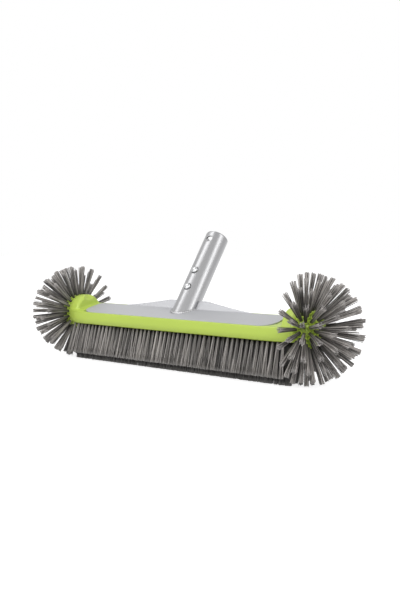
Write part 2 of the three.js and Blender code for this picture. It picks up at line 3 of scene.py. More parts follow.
import itertools
import json
import logging
import math
from dataclasses import asdict, dataclass, fields, replace
from enum import Enum
from typing import Callable, Iterable, Union

import bmesh
import bpy
from bpy.types import Material, Mesh, Node, NodeSocket as Socket, NodeTree, Object
from mathutils import Matrix, Vector


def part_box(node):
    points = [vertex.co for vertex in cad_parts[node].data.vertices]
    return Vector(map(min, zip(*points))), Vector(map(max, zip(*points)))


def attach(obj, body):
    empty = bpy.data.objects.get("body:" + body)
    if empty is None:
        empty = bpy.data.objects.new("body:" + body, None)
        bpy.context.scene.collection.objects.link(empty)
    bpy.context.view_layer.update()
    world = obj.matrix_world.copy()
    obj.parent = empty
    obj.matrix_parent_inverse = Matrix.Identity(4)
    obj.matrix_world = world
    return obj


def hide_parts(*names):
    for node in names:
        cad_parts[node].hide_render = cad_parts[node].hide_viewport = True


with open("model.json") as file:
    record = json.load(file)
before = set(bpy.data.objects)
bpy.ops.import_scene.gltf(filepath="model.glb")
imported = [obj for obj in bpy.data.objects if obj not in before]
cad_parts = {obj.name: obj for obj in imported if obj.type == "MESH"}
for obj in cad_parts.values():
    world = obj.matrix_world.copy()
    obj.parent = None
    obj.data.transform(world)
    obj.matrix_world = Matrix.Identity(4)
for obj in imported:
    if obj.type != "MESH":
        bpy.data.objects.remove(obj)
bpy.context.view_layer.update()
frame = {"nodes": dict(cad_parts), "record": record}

log = logging.getLogger("brush")
MM = 0.001
BODY = "brush"
BAR_BOTTOM = 47.0
PLATE_SLOPE = 10.6
PLATE_WIDTH = 40.2
PLATE_HALF = 135.0
Colour = tuple[float, float, float]
WHITE = (1.0, 1.0, 1.0, 1.0)


# ------------------------------------------------------------------ node graphs


def math_method(operation: str, swapped: bool = False) -> Callable[..., "Value"]:
    """Makes a method of Value that adds a Math node.

    Args:
        operation: the Math node's operation.
        swapped: puts the value itself last, as a right-hand operator needs.

    Returns:
        The method. It takes the node's other operands and returns the result.
    """

    def method(self: "Value", *others: "Operand") -> "Value":
        """Adds the node and returns its result.

        Args:
            others: the node's other operands.

        Returns:
            The node's result.
        """
        operands = (*others, self) if swapped else (self, *others)
        node = self.graph.node("ShaderNodeMath", {"operation": operation}, dict(enumerate(operands)))
        return Value(self.graph, node.outputs[0])

    return method


class Value:
    """A socket in a node tree that can be used in arithmetic.

    above and below give the larger and the smaller of two values. rounded_above and
    rounded_below also blend the two where they are within a reach, their last operand.
    """

    def __init__(self, graph: "Graph", socket: Socket) -> None:
        """Wraps an output socket of a node in graph."""
        self.graph = graph
        self.socket = socket

    __add__ = __radd__ = math_method("ADD")
    __sub__ = math_method("SUBTRACT")
    __rsub__ = math_method("SUBTRACT", swapped=True)
    __mul__ = __rmul__ = math_method("MULTIPLY")
    __truediv__ = math_method("DIVIDE")
    __rtruediv__ = math_method("DIVIDE", swapped=True)
    __pow__ = math_method("POWER")
    __abs__ = math_method("ABSOLUTE")
    above = math_method("MAXIMUM")
    below = math_method("MINIMUM")
    greater = math_method("GREATER_THAN")
    rounded_above = math_method("SMOOTH_MAX")
    rounded_below = math_method("SMOOTH_MIN")
    root = math_method("SQRT")
    sine = math_method("SINE")
    cosine = math_method("COSINE")

    def __neg__(self) -> "Value":
        """-self."""
        return self * -1.0


Operand = Union[Value, float]


class Graph:
    """A node tree with one way to add a node."""

    def __init__(self, tree: NodeTree) -> None:
        """Wraps a node tree."""
        self.tree = tree

    def node(self, kind: str, settings: dict | None = None, inputs: dict | None = None) -> Node:
        """Adds a node.

        Args:
            kind: the node's type.
            settings: its properties, set before the sockets.
            inputs: socket name or index to a value, a Value or an output socket.

        Returns:
            The new node.
        """
        node = self.tree.nodes.new(kind)
        for name, value in (settings or {}).items():
            if name == "stops":
                self._stops(node, value)
            else:
                setattr(node, name, value)
        for key, value in (inputs or {}).items():
            socket = node.inputs[key]
            if isinstance(value, Value):
                self.tree.links.new(value.socket, socket)
            elif isinstance(value, Socket):
                self.tree.links.new(value, socket)
            else:
                socket.default_value = value
        return node

    @staticmethod
    def _stops(node: Node, stops: list[tuple[float, Colour]]) -> None:
        """Sets a Color Ramp's stops from (place, colour) pairs.

        Args:
            node: a Color Ramp node.
            stops: place and colour of each stop.
        """
        elements = node.color_ramp.elements
        while len(elements) < len(stops):
            elements.new(1.0)
        for element, (place, colour) in zip(elements, stops):
            element.position = place
            element.color = (*colour, 1.0)

    def value(self, kind: str, settings: dict | None = None, inputs: dict | None = None,
              output: str | int = 0) -> Value:
        """Adds a node and returns one of its outputs, ready for arithmetic."""
        return Value(self, self.node(kind, settings, inputs).outputs[output])

    def vector(self, operation: str, *operands: object, output: str | int = 0) -> Value:
        """Adds a Vector Math node and returns one of its outputs."""
        inputs = dict(enumerate(operands))
        return self.value("ShaderNodeVectorMath", {"operation": operation}, inputs, output)

    def scaled(self, vector: object, factor: "Operand") -> Value:
        """A vector times a number."""
        inputs = {"Vector": vector, "Scale": factor}
        return self.value("ShaderNodeVectorMath", {"operation": "SCALE"}, inputs)

    def upright(self, vector: object) -> Value:
        """The rotation that turns +Z towards a vector."""
        return self.value("FunctionNodeAlignRotationToVector", {"axis": "Z"}, {"Vector": vector})

    def combine(self, x: "Operand", y: "Operand", z: "Operand") -> Value:
        """A vector from three numbers."""
        return self.value("ShaderNodeCombineXYZ", None, {0: x, 1: y, 2: z})

    def split(self, vector: object) -> tuple[Value, Value, Value]:
        """The three numbers of a vector.

        Args:
            vector: a vector socket or value.

        Returns:
            Its x, y and z.
        """
        node = self.node("ShaderNodeSeparateXYZ", None, {0: vector})
        x, y, z = (Value(self, output) for output in node.outputs)
        return x, y, z

    def mix_colour(self, factor: "Operand", low: object, high: object) -> Value:
        """A colour between low (factor 0) and high (factor 1)."""
        node = self.node("ShaderNodeMix", {"data_type": "RGBA"}, {0: factor, 6: low, 7: high})
        return Value(self, node.outputs[2])


# ------------------------------------------------------------------ finishes


class Slot(Enum):
    """The record's material slots."""

    LIME = "lime_plastic"
    PLATE = "satin_plate"
    TUBE = "drawn_tube"
    WELD = "weld_metal"
    SPRING = "spring_steel"
    BUTTON = "button_steel"
    ZINC = "zinc_steel"
    NYLON = "grey_nylon"


def darker(colour: Colour, share: float) -> tuple[float, float, float, float]:
    """A share of a colour, as the four numbers of a colour socket."""
    return (*(share * channel for channel in colour), 1.0)


class Surface(Graph):
    """A material's node tree: one Principled shader and what feeds it."""

    def __init__(self, material: Material, inputs: dict) -> None:
        """Replaces the material's nodes with a shader that has some plain inputs.

        Args:
            material: a new material.
            inputs: plain values for the shader's sockets.
        """
        material.use_nodes = True
        material.node_tree.nodes.clear()
        super().__init__(material.node_tree)
        self.shader = self.node("ShaderNodeBsdfPrincipled", None, inputs)
        self.node("ShaderNodeOutputMaterial", None, {"Surface": self.shader.outputs[0]})

    def feed(self, name: str, value: Value) -> None:
        """Links a value to a socket of the shader."""
        self.tree.links.new(value.socket, self.shader.inputs[name])

    def place(self, stretch: tuple[float, float, float] = (1.0, 1.0, 1.0)) -> Value:
        """Object coordinates in millimetres, stretched along each axis."""
        coordinates = self.value("ShaderNodeTexCoord", None, None, "Object")
        return self.vector("MULTIPLY", coordinates, tuple(factor / MM for factor in stretch))

    def noise(self, place: Value, size: float, detail: float = 2.0) -> Value:
        """Noise from 0 to 1 whose features are about size millimetres."""
        inputs = {"Vector": place, "Scale": 1.0 / size, "Detail": detail}
        return self.value("ShaderNodeTexNoise", None, inputs, "Fac")

    def attribute(self, name: str) -> Value:
        """A number that the mesh holds under a name."""
        return self.value("ShaderNodeAttribute", {"attribute_name": name}, None, "Fac")

    def bump(self, height: Value, strength: float, depth: float) -> None:
        """Bumps the surface by a height field, depth millimetres deep."""
        inputs = {"Strength": strength, "Distance": depth * MM, "Height": height}
        self.feed("Normal", self.value("ShaderNodeBump", None, inputs, "Normal"))


@dataclass(frozen=True)
class Finish:
    """What every finish shares: a slot, a colour and a roughness."""

    slot: Slot
    colour: Colour
    roughness: float
    metallic: float = 0.0

    def material(self) -> Material:
        """Builds the material, once for each slot.

        Returns:
            The material named after the slot.
        """
        name = self.slot.value + "_finish"
        made = bpy.data.materials.get(name)
        if made:
            return made
        made = bpy.data.materials.new(name)
        self.pattern(Surface(made, {"Base Color": (*self.colour, 1.0), "Roughness": self.roughness,
                                    "Metallic": self.metallic}))
        made.diffuse_color = (*self.colour, 1.0)
        return made

    def pattern(self, surface: Surface) -> None:
        """Adds what varies over the surface. The plain finish adds nothing."""

    def mottle(self, surface: Surface, amount: Value, dark: float) -> None:
        """Darkens the finish's colour to a share of itself where amount is low."""
        colour = surface.mix_colour(amount, darker(self.colour, dark), (*self.colour, 1.0))
        surface.feed("Base Color", colour)


@dataclass(frozen=True)
class MouldedPlastic(Finish):
    """Lime-green moulded plastic with a fine eggshell texture and faint flow marks."""

    deep: Colour = (0.43, 0.58, 0.085)
    grain: float = 0.55
    flow: float = 42.0
    cloud: float = 9.0
    seam_at: float = 154.5
    seam: float = 0.28

    def pattern(self, surface: Surface) -> None:
        """Adds the flow marks, the seam of the round heads, the uneven gloss and the eggshell bump.

        Args:
            surface: node tree of the material.
        """
        place = surface.place()
        flow = surface.noise(surface.place((0.35, 1.0, 1.0)), self.flow, 3.0)
        fine = surface.noise(place, self.grain, 3.0)
        colour = surface.mix_colour(flow, (*self.deep, 1.0), (*self.colour, 1.0))
        along, _, _ = surface.split(place)
        joint = (1.0 - abs(abs(along) - self.seam_at) / self.seam).above(0.0) * 0.8
        surface.feed("Base Color", surface.mix_colour(joint, colour, darker(self.deep, 0.3)))
        patch = surface.noise(place, self.cloud)
        surface.feed("Roughness", self.roughness - 0.05 + 0.1 * patch + 0.06 * fine)
        surface.shader.inputs["Subsurface Weight"].default_value = 0.08
        surface.shader.inputs["Subsurface Radius"].default_value = (0.002, 0.002, 0.0006)
        surface.shader.inputs["Specular IOR Level"].default_value = 0.45
        surface.bump(fine, 0.22, 0.05)


@dataclass(frozen=True)
class SatinSheet(Finish):
    """Satin anodised sheet with a faint rolling grain along its length."""

    def pattern(self, surface: Surface) -> None:
        """Adds the rolling grain and a soft uneven sheen.

        Args:
            surface: node tree of the material.
        """
        grain = surface.noise(surface.place((0.02, 1.0, 1.0)), 0.5, 4.0)
        cloud = surface.noise(surface.place(), 30.0, 2.0)
        self.mottle(surface, 0.7 * grain + 0.3 * cloud, 0.9)
        surface.feed("Roughness", self.roughness - 0.06 + 0.08 * grain + 0.06 * cloud)
        surface.bump(grain, 0.12, 0.03)


@dataclass(frozen=True)
class DrawnTubing(Finish):
    """Drawn tube with fine lines along its axis and a few handling scuffs."""

    lean: float = 0.0

    def pattern(self, surface: Surface) -> None:
        """Adds the drawing lines, turned to run along the leaning tube, and the scuffs.

        Args:
            surface: node tree of the material.
        """
        turned = surface.value("ShaderNodeVectorRotate", {"rotation_type": "X_AXIS"},
                               {"Vector": surface.place(), "Angle": self.lean})
        along = surface.vector("MULTIPLY", turned, (1.0, 1.0, 0.015))
        lines = surface.noise(along, 0.35, 3.0)
        wide = surface.noise(along, 2.2, 2.0)
        scuff = surface.noise(surface.place(), 3.0, 5.0)
        worn = (scuff - 0.62).above(0.0) * 2.0
        self.mottle(surface, 0.5 * lines + 0.5 * wide, 0.9)
        surface.feed("Roughness", self.roughness - 0.03 + 0.06 * lines + 0.1 * worn)
        surface.bump(lines, 0.06, 0.02)


@dataclass(frozen=True)
class RoughMetal(Finish):
    """Bare metal with a cloudy, slightly pitted surface, such as a weld bead or plating."""

    grain: float = 0.8
    relief: float = 0.2

    def pattern(self, surface: Surface) -> None:
        """Adds clouds in the colour and gloss, and a fine relief.

        Args:
            surface: node tree of the material.
        """
        place = surface.place()
        fine = surface.noise(place, self.grain, 4.0)
        self.mottle(surface, surface.noise(place, 5.0 * self.grain, 3.0), 0.78)
        surface.feed("Roughness", self.roughness - 0.08 + 0.16 * fine)
        surface.bump(fine, self.relief, 0.08)


@dataclass(frozen=True)
class Filaments(Finish):
    """Nylon filaments: each has its own tone, painted shade towards its root and a paler scuffed tip."""

    pale: Colour = (0.52, 0.485, 0.455)
    tip: Colour = (0.42, 0.40, 0.385)
    # Share of each filament's length, from the root, that gets painted shade.
    buried: float = 0.45
    scuffed: float = 0.9

    def pattern(self, surface: Surface) -> None:
        """Adds the tone of each filament, the painted shade at its root and its scuffed tip, from the mesh's
        attributes.

        Args:
            surface: node tree of the material.
        """
        along = surface.attribute("along")
        # The tone attribute carries each style's pale factor, which paints light and shade on whole rows and
        # balls.
        colour = surface.mix_colour(surface.attribute("tone"), (*self.colour, 1.0), (*self.pale, 1.0))
        # Painted shade: the part of each filament near its root is darkened by the shade attribute, standing
        # in for the shadow among the tufts.
        buried = (1.0 - along / self.buried).above(0.0) * surface.attribute("shade")
        colour = surface.mix_colour(buried, colour, darker(self.colour, 0.2))
        scuffed = ((along - self.scuffed) / (1.0 - self.scuffed)).above(0.0) * 0.5
        surface.feed("Base Color", surface.mix_colour(scuffed, colour, (*self.tip, 1.0)))
        streak = surface.noise(surface.place(), 1.5, 2.0)
        surface.feed("Roughness", self.roughness - 0.1 + 0.2 * streak)


# ------------------------------------------------------------------ mesh helpers


def new_object(name: str, mesh: Mesh) -> Object:
    """Puts a mesh into the scene as an object at the origin.

    Args:
        name: name of the object.
        mesh: its mesh.

    Returns:
        The new object.
    """
    made = bpy.data.objects.new(name, mesh)
    bpy.context.scene.collection.objects.link(made)
    return made


def mesh_object(name: str, points: Iterable[Iterable[float]],
                faces: Iterable[Iterable[int]]) -> Object:
    """Makes an object from points and faces, with its doubles merged and its faces outwards.

    Args:
        name: name of the object and its mesh.
        points: places in metres.
        faces: numbers of the points of each face.

    Returns:
        The new object.
    """
    mesh = bpy.data.meshes.new(name)
    mesh.from_pydata([tuple(point) for point in points], [], [tuple(face) for face in faces])
    work = bmesh.new()
    work.from_mesh(mesh)
    bmesh.ops.remove_doubles(work, verts=work.verts, dist=0.001 * MM)
    bmesh.ops.dissolve_degenerate(work, edges=work.edges, dist=0.001 * MM)
    bmesh.ops.recalc_face_normals(work, faces=work.faces)
    work.to_mesh(mesh)
    work.free()
    return new_object(name, mesh)


def settle(target: Object, turn: Matrix | None = None) -> Object:
    """Applies an object's modifiers and, if given, a matrix, and leaves a plain mesh.

    Args:
        target: the object to bake.
        turn: a matrix that moves the mesh into place.

    Returns:
        The same object.
    """
    bpy.context.view_layer.update()
    seen = target.evaluated_get(bpy.context.evaluated_depsgraph_get())
    baked = bpy.data.meshes.new_from_object(seen)
    target.modifiers.clear()
    target.data = baked
    if turn is not None:
        baked.transform(turn)
    return target


def smooth(target: Object, degrees: float = 35.0) -> Object:
    """Shades smooth, and keeps edges sharper than an angle crisp.

    Args:
        target: an object with a plain mesh.
        degrees: edges sharper than this stay crisp.

    Returns:
        The same object.
    """
    target.data.shade_smooth()
    target.data.set_sharp_from_angle(angle=math.radians(degrees))
    return target


def cut(target: Object, cutter: Object, operation: str = "DIFFERENCE") -> None:
    """Cuts or joins target with cutter, which is then removed.

    Args:
        target: the object to change.
        cutter: the object that cuts it.
        operation: the Boolean modifier's operation.
    """
    modifier = target.modifiers.new("cut", "BOOLEAN")
    modifier.operation = operation
    modifier.solver = "EXACT"
    modifier.object = cutter
    settle(target)
    bpy.data.objects.remove(cutter)


def lathe(name: str, profile: list[tuple[float, float]], steps: int = 64) -> Object:
    """Turns a closed profile about the Z axis.

    Args:
        name: name of the object.
        profile: (radius, height) points, from axis to axis or closed on itself.
        steps: points round the turn.

    Returns:
        The turned object.
    """
    points = []
    faces = []
    rows = len(profile)
    for step in range(steps):
        angle = 2.0 * math.pi * step / steps
        points += [(r * math.cos(angle), r * math.sin(angle), z) for r, z in profile]
        after = rows * ((step + 1) % steps)
        here = rows * step
        faces += [(here + i, after + i, after + i + 1, here + i + 1) for i in range(rows - 1)]
    return mesh_object(name, points, faces)


def arc(centre: tuple[float, float], radius: float, start: float, end: float,
        steps: int) -> list[tuple[float, float]]:
    """Points on an arc, with the angles in degrees."""
    angles = [math.radians(start + (end - start) * i / steps) for i in range(steps + 1)]
    return [(centre[0] + radius * math.cos(a), centre[1] + radius * math.sin(a)) for a in angles]


def block(name: str, low: Iterable[float], high: Iterable[float]) -> Object:
    """A box between two corners, used as a cutter.

    Args:
        name: name of the object.
        low: lowest corner.
        high: highest corner.

    Returns:
        The box.
    """
    corners = itertools.product(*zip(low, high))
    sides = [(0, 1, 3, 2), (4, 6, 7, 5), (0, 4, 5, 1), (2, 3, 7, 6), (0, 2, 6, 4), (1, 5, 7, 3)]
    return mesh_object(name, corners, sides)


def drum(name: str, radius: float, low: float, high: float, steps: int = 64) -> Object:
    """A plain upright cylinder, used as a cutter."""
    return lathe(name, [(0.0, low), (radius, low), (radius, high), (0.0, high)], steps)


def placed(target: Object, matrix: Matrix) -> Object:
    """Moves an object's mesh by a matrix."""
    target.data.transform(matrix)
    return target


def bevel(target: Object, width: float, degrees: float, segments: int = 2) -> None:
    """Rounds the edges that are sharper than an angle.

    Args:
        target: an object with a plain mesh.
        width: width of the rounding, in metres.
        degrees: edges sharper than this are rounded.
        segments: faces across the rounding.
    """
    modifier = target.modifiers.new("edge", "BEVEL")
    modifier.width = width
    modifier.segments = segments
    modifier.limit_method = "ANGLE"
    modifier.angle_limit = math.radians(degrees)
    modifier.use_clamp_overlap = True
    settle(target)


def hand_over(piece: Object, finish: Finish, body: str, *nodes: str) -> Object:
    """Gives a finished piece its material, body and slot, and hides the nodes that it stands for.

    Args:
        piece: a plain mesh at the origin.
        finish: its finish.
        body: the body that it rides on.
        nodes: the frame's nodes that it replaces.

    Returns:
        The piece.
    """
    piece.data.materials.clear()
    piece.data.materials.append(finish.material())
    for face in piece.data.polygons:
        face.material_index = 0
    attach(piece, body)
    if nodes:
        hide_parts(*nodes)
    log.info("%s: %d faces, on %s", piece.name, len(piece.data.polygons), body)
    return piece


class Growth:
    """A Geometry Nodes tree with named inputs that turns an object's mesh into a finished one."""

    def __init__(self, name: str, inputs: dict[str, str]) -> None:
        """Makes the tree with its sockets.

        Args:
            name: name of the tree.
            inputs: each input's name and its kind, Float or Int.
        """
        self.tree = bpy.data.node_groups.new(name, "GeometryNodeTree")
        face = self.tree.interface
        face.new_socket("Geometry", in_out="INPUT", socket_type="NodeSocketGeometry")
        self.keys = {}
        for label, kind in inputs.items():
            socket = face.new_socket(label, in_out="INPUT", socket_type=f"NodeSocket{kind}")
            self.keys[label] = socket.identifier
        face.new_socket("Geometry", in_out="OUTPUT", socket_type="NodeSocketGeometry")
        self.graph = Graph(self.tree)
        self.source = self.graph.node("NodeGroupInput")

    def input(self, label: str) -> Value:
        """One of the tree's named inputs."""
        return Value(self.graph, self.source.outputs[label])

    def random(self, low: float, high: float, salt: int, ident: Value | None = None) -> Value:
        """A random number for each point, or for each value of ident, from the input called seed.

        Args:
            low: smallest number.
            high: largest number.
            salt: added to the seed, so that each use draws its own numbers.
            ident: points with the same value draw the same number.

        Returns:
            The random number.
        """
        inputs = {"Min": low, "Max": high, "Seed": self.input("seed") + float(salt)}
        if ident is not None:
            inputs["ID"] = ident
        return self.graph.value("FunctionNodeRandomValue", {"data_type": "FLOAT"}, inputs, "Value")

    def named(self, name: str, kind: str) -> Value:
        """A named attribute of the points."""
        settings = {"data_type": kind}
        return self.graph.value("GeometryNodeInputNamedAttribute", settings, {"Name": name}, "Attribute")

    def copies(self, points: object, instance: Socket, turn: Value, **more: Value) -> Socket:
        """Sets a turned copy of some geometry on each point."""
        inputs = {"Points": points, "Instance": instance, "Rotation": turn, **more}
        return self.graph.node("GeometryNodeInstanceOnPoints", None, inputs).outputs[0]

    def end(self, geometry: Socket, finish: Finish) -> None:
        """Ends the tree: realizes its instances and sets their material.

        Args:
            geometry: what the tree has made.
            finish: its finish.
        """
        real = self.graph.node("GeometryNodeRealizeInstances", None, {"Geometry": geometry})
        painted = self.graph.node("GeometryNodeSetMaterial", None, {
            "Geometry": real.outputs[0], "Material": finish.material()})
        self.graph.node("NodeGroupOutput", None, {"Geometry": painted.outputs[0]})

    def bake(self, piece: Object, values: dict[str, float]) -> Object:
        """Runs the tree on an object and leaves a plain mesh.

        Args:
            piece: an object whose mesh is the tree's geometry input.
            values: each input's name and its value.

        Returns:
            The same object.
        """
        modifier = piece.modifiers.new("growth", "NODES")
        modifier.node_group = self.tree
        for label, identifier in self.keys.items():
            modifier[identifier] = values[label]
        return settle(piece)


# ------------------------------------------------------------------ the moulded body


@dataclass
class MouldedBody:
    """The moulded bar with a round head at each end. Sizes are in millimetres."""

    finish: Finish
    voxel: float = 0.62
    voxel_stretch: float = 1.8
    bottom: float = BAR_BOTTOM
    face_height: float = 15.4
    front_y: float = -28.0
    rear_lean: float = 12.0
    crown: float = 0.5
    undercut: float = 2.6
    top_slope: float = 8.5
    lip_round: float = 1.1
    foot_round: float = 1.6
    rear_round: float = 5.0
    end_inset: float = 4.0
    end_round: float = 2.0
    neck_start: float = 125.0
    neck_length: float = 32.0
    neck_bulge: float = 26.0
    neck_depth: float = 10.3
    flange_radius: float = 22.3
    flange_inner: float = 143.0
    flange_width: float = 15.5
    flange_round: float = 3.5
    dome_radius: float = 17.5
    scoop_radius: float = 24.0
    scoop_depth: float = 5.0
    scoop_drop: float = 5.0
    blend: float = 4.0
    dome_blend: float = 1.5
    scoop_edge: float = 0.6
    plate_slope: float = PLATE_SLOPE
    plate_width: float = PLATE_WIDTH
    plate_half: float = PLATE_HALF
    plate_proud: float = 0.2
    cut_edge: float = 0.5
    recess_depth: float = 2.3
    recess_gap: float = 0.5
    recess_rear_gap: float = 2.4
    recess_front_round: float = 17.0
    recess_rear_round: float = 7.0
    screw_first: float = 38.0
    screw_y: float = -5.4
    screw_sink: float = 3.0
    screw_sink_depth: float = 2.4

    def __post_init__(self) -> None:
        """Reads the body's box and the fold of the plate from the frame."""
        low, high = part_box("brush_body")
        self.low = low / MM
        self.high = high / MM
        self.dome_x = self.high.x - self.dome_radius
        self.head_z = self.high.z - self.flange_radius
        plate_low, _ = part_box("back_plate")
        slope = math.radians(self.plate_slope)
        self.fold_y = plate_low.y / MM + self.plate_width * math.cos(slope)
        front_top = self.bottom + self.face_height + self.plate_proud
        self.fold_z = front_top + self.plate_width * math.sin(slope)

    def build(self) -> Object:
        """Builds the body as the surface of a field and dresses it.

        Returns:
            The finished piece.
        """
        shape = Growth("moulded_body_shape", {"Voxel": "Float"})
        graph = shape.graph
        where = graph.value("GeometryNodeInputPosition")
        x, y, z = (part * (1.0 / MM) for part in graph.split(where))
        distance = self._heads(abs(x), y, z, self._bar(abs(x), y, z))
        distance = self._cuts(abs(x), y, z, distance)
        surface, falloff, margin = 0.5, 0.1, 4.0
        density = surface - distance * falloff
        size = shape.input("Voxel")
        spans = [self.high[axis] - self.low[axis] + 2.0 * margin for axis in range(3)]
        spans[0] /= self.voxel_stretch
        counts = [graph.value("FunctionNodeFloatToInt", None, {0: span / size}) for span in spans]
        cloud = graph.node("GeometryNodeVolumeCube", None, {
            "Density": density, "Background": 0.0,
            "Min": tuple((value - margin) * MM for value in self.low),
            "Max": tuple((value + margin) * MM for value in self.high),
            "Resolution X": counts[0], "Resolution Y": counts[1], "Resolution Z": counts[2],
        })
        skin = graph.node("GeometryNodeVolumeToMesh", {"resolution_mode": "GRID"},
                          {"Volume": cloud.outputs[0], "Threshold": surface, "Adaptivity": 0.0})
        shape.end(skin.outputs[0], self.finish)
        body = new_object("moulded_body", bpy.data.meshes.new("moulded_body"))
        shape.bake(body, {"Voxel": self.voxel})
        smooth(body, 60.0)
        return hand_over(body, self.finish, BODY, "brush_body")

    def _bar(self, x: Value, y: Value, z: Value) -> Value:
        """Distance to the long bar, with its front crowned and its ends narrowed.

        Args:
            x: distance from the middle along the bar.
            y: place across the bar, positive to the rear.
            z: height over the floor.

        Returns:
            Distance outside the surface, negative inside, in millimetres.
        """
        half = self.face_height / 2.0
        middle = self.bottom + half
        rise = (z - middle) / half
        inset = self._neck(x)
        under = rise.below(0.0)
        over = rise.above(0.0)
        front_y = self.front_y + inset + under * under * self.undercut
        front_y = front_y - (1.0 - over * over) * self.crown
        front = front_y - y
        lean = math.radians(self.rear_lean)
        rear = (y + inset - self.high.y) * math.cos(lean) + (z - middle) * math.sin(lean)
        slope = math.radians(self.top_slope)
        lip = z - (self.bottom + self.face_height)
        top = lip * math.cos(slope) - (y - self.front_y) * math.sin(slope)
        end = x - (self.dome_x - self.end_inset)
        bar = front.rounded_above(top, self.lip_round)
        bar = bar.rounded_above(self.bottom - z, self.foot_round)
        bar = bar.rounded_above(rear, self.rear_round)
        return bar.rounded_above(end, self.end_round)

    def _neck(self, x: Value) -> Value:
        """How far the sides of the bar have drawn in at x, along a quadratic curve in plan.

        Args:
            x: distance from the middle along the bar.

        Returns:
            How far each side has drawn in, in millimetres.
        """
        pull = 2.0 * self.neck_bulge
        bow = pull - self.neck_length
        run = (x - self.neck_start).above(0.0).below(self.neck_length)
        share = (pull - (pull * pull - 4.0 * bow * run).root()) / (2.0 * bow)
        return share * share * self.neck_depth

    def _heads(self, x: Value, y: Value, z: Value, bar: Value) -> Value:
        """Distance to the bar joined with the round head at each end.

        Args:
            x: distance from the middle along the bar.
            y: place across the bar, positive to the rear.
            z: height over the floor.
            bar: distance to the bar.

        Returns:
            Distance outside the surface, negative inside, in millimetres.
        """
        half = self.flange_width / 2.0
        up = z - self.head_z
        radial = (y * y + up * up).root()
        across = abs(x - (self.flange_inner + half)) - (half - self.flange_round)
        around = radial - (self.flange_radius - self.flange_round)
        outside = across.above(0.0) ** 2.0 + around.above(0.0) ** 2.0
        flange = outside.root() + across.above(around).below(0.0) - self.flange_round
        flange = flange.rounded_above(self.bottom - z, self.end_round)
        run = x - self.dome_x
        dome = (run * run + y * y + up * up).root() - self.dome_radius
        return bar.rounded_below(flange, self.blend).rounded_below(dome, self.dome_blend)

    def _cuts(self, x: Value, y: Value, z: Value, body: Value) -> Value:
        """Distance to the body less the scoops, the recess of the plate and the screw sinks.

        Args:
            x: distance from the middle along the bar.
            y: place across the bar, positive to the rear.
            z: height over the floor.
            body: distance to the body before it is cut.

        Returns:
            Distance outside the surface, negative inside, in millimetres.
        """
        scoop_x = self.flange_inner + self.scoop_depth - self.scoop_radius
        scoop_z = self.fold_z - self.scoop_drop + self.scoop_radius
        run = x - scoop_x
        up = z - scoop_z
        scoop = (run * run + y * y + up * up).root() - self.scoop_radius
        body = body.rounded_above(-scoop, self.scoop_edge)
        body = body.rounded_above(-self._recess(x, y, z), self.cut_edge)
        spread = abs(x - 2.0 * self.screw_first) - self.screw_first
        aside = y - self.screw_y
        sink = (spread * spread + aside * aside).root() - self.screw_sink
        sink = sink.above(z - (self.bottom + self.screw_sink_depth))
        return body.rounded_above(-sink, self.scoop_edge)

    def _recess(self, x: Value, y: Value, z: Value) -> Value:
        """Distance to the recess that the plate lies in.

        Args:
            x: distance from the middle along the bar.
            y: place across the bar, positive to the rear.
            z: height over the floor.

        Returns:
            Distance outside the surface, negative inside, in millimetres.
        """
        slope = math.radians(self.plate_slope)
        back = (y - self.fold_y) * math.cos(slope) + (z - self.fold_z) * math.sin(slope)
        rise = (z - self.fold_z) * math.cos(slope) - (y - self.fold_y) * math.sin(slope)
        front = -self.plate_width - self.recess_gap
        centre = (front + self.recess_rear_gap) / 2.0
        half_depth = (self.recess_rear_gap - front) / 2.0
        offset = back - centre
        change = self.recess_rear_round - self.recess_front_round
        corner = offset.greater(0.0) * change + self.recess_front_round
        side = x - (self.plate_half + self.recess_gap) + corner
        end = abs(offset) - half_depth + corner
        outside = (side.above(0.0) ** 2.0 + end.above(0.0) ** 2.0).root()
        outline = outside + side.above(end).below(0.0) - corner
        return outline.above(-rise - self.recess_depth)


# ------------------------------------------------------------------ plate and handle


@dataclass
class HandleFrame:
    """The leaning axis of the handle, read from the frame's end mount. Millimetres."""

    length: float = 108.0
    mount_offset: float = 13.5

    def __post_init__(self) -> None:
        """Works out the origin at the fold and the matrix of the handle."""
        mounts = {mount["name"]: mount for mount in frame["record"]["mounts"]}
        end = mounts["handle_end"]
        self.axis = Vector(end["axis"]).normalized()
        top = Vector(end["pos_m"]) - Vector((self.mount_offset * MM, 0.0, 0.0))
        self.origin = top - self.axis * self.length * MM
        self.lean = math.atan2(self.axis.y, self.axis.z)
        self.matrix = Matrix.Translation(self.origin) @ Matrix.Rotation(-self.lean, 4, "X")


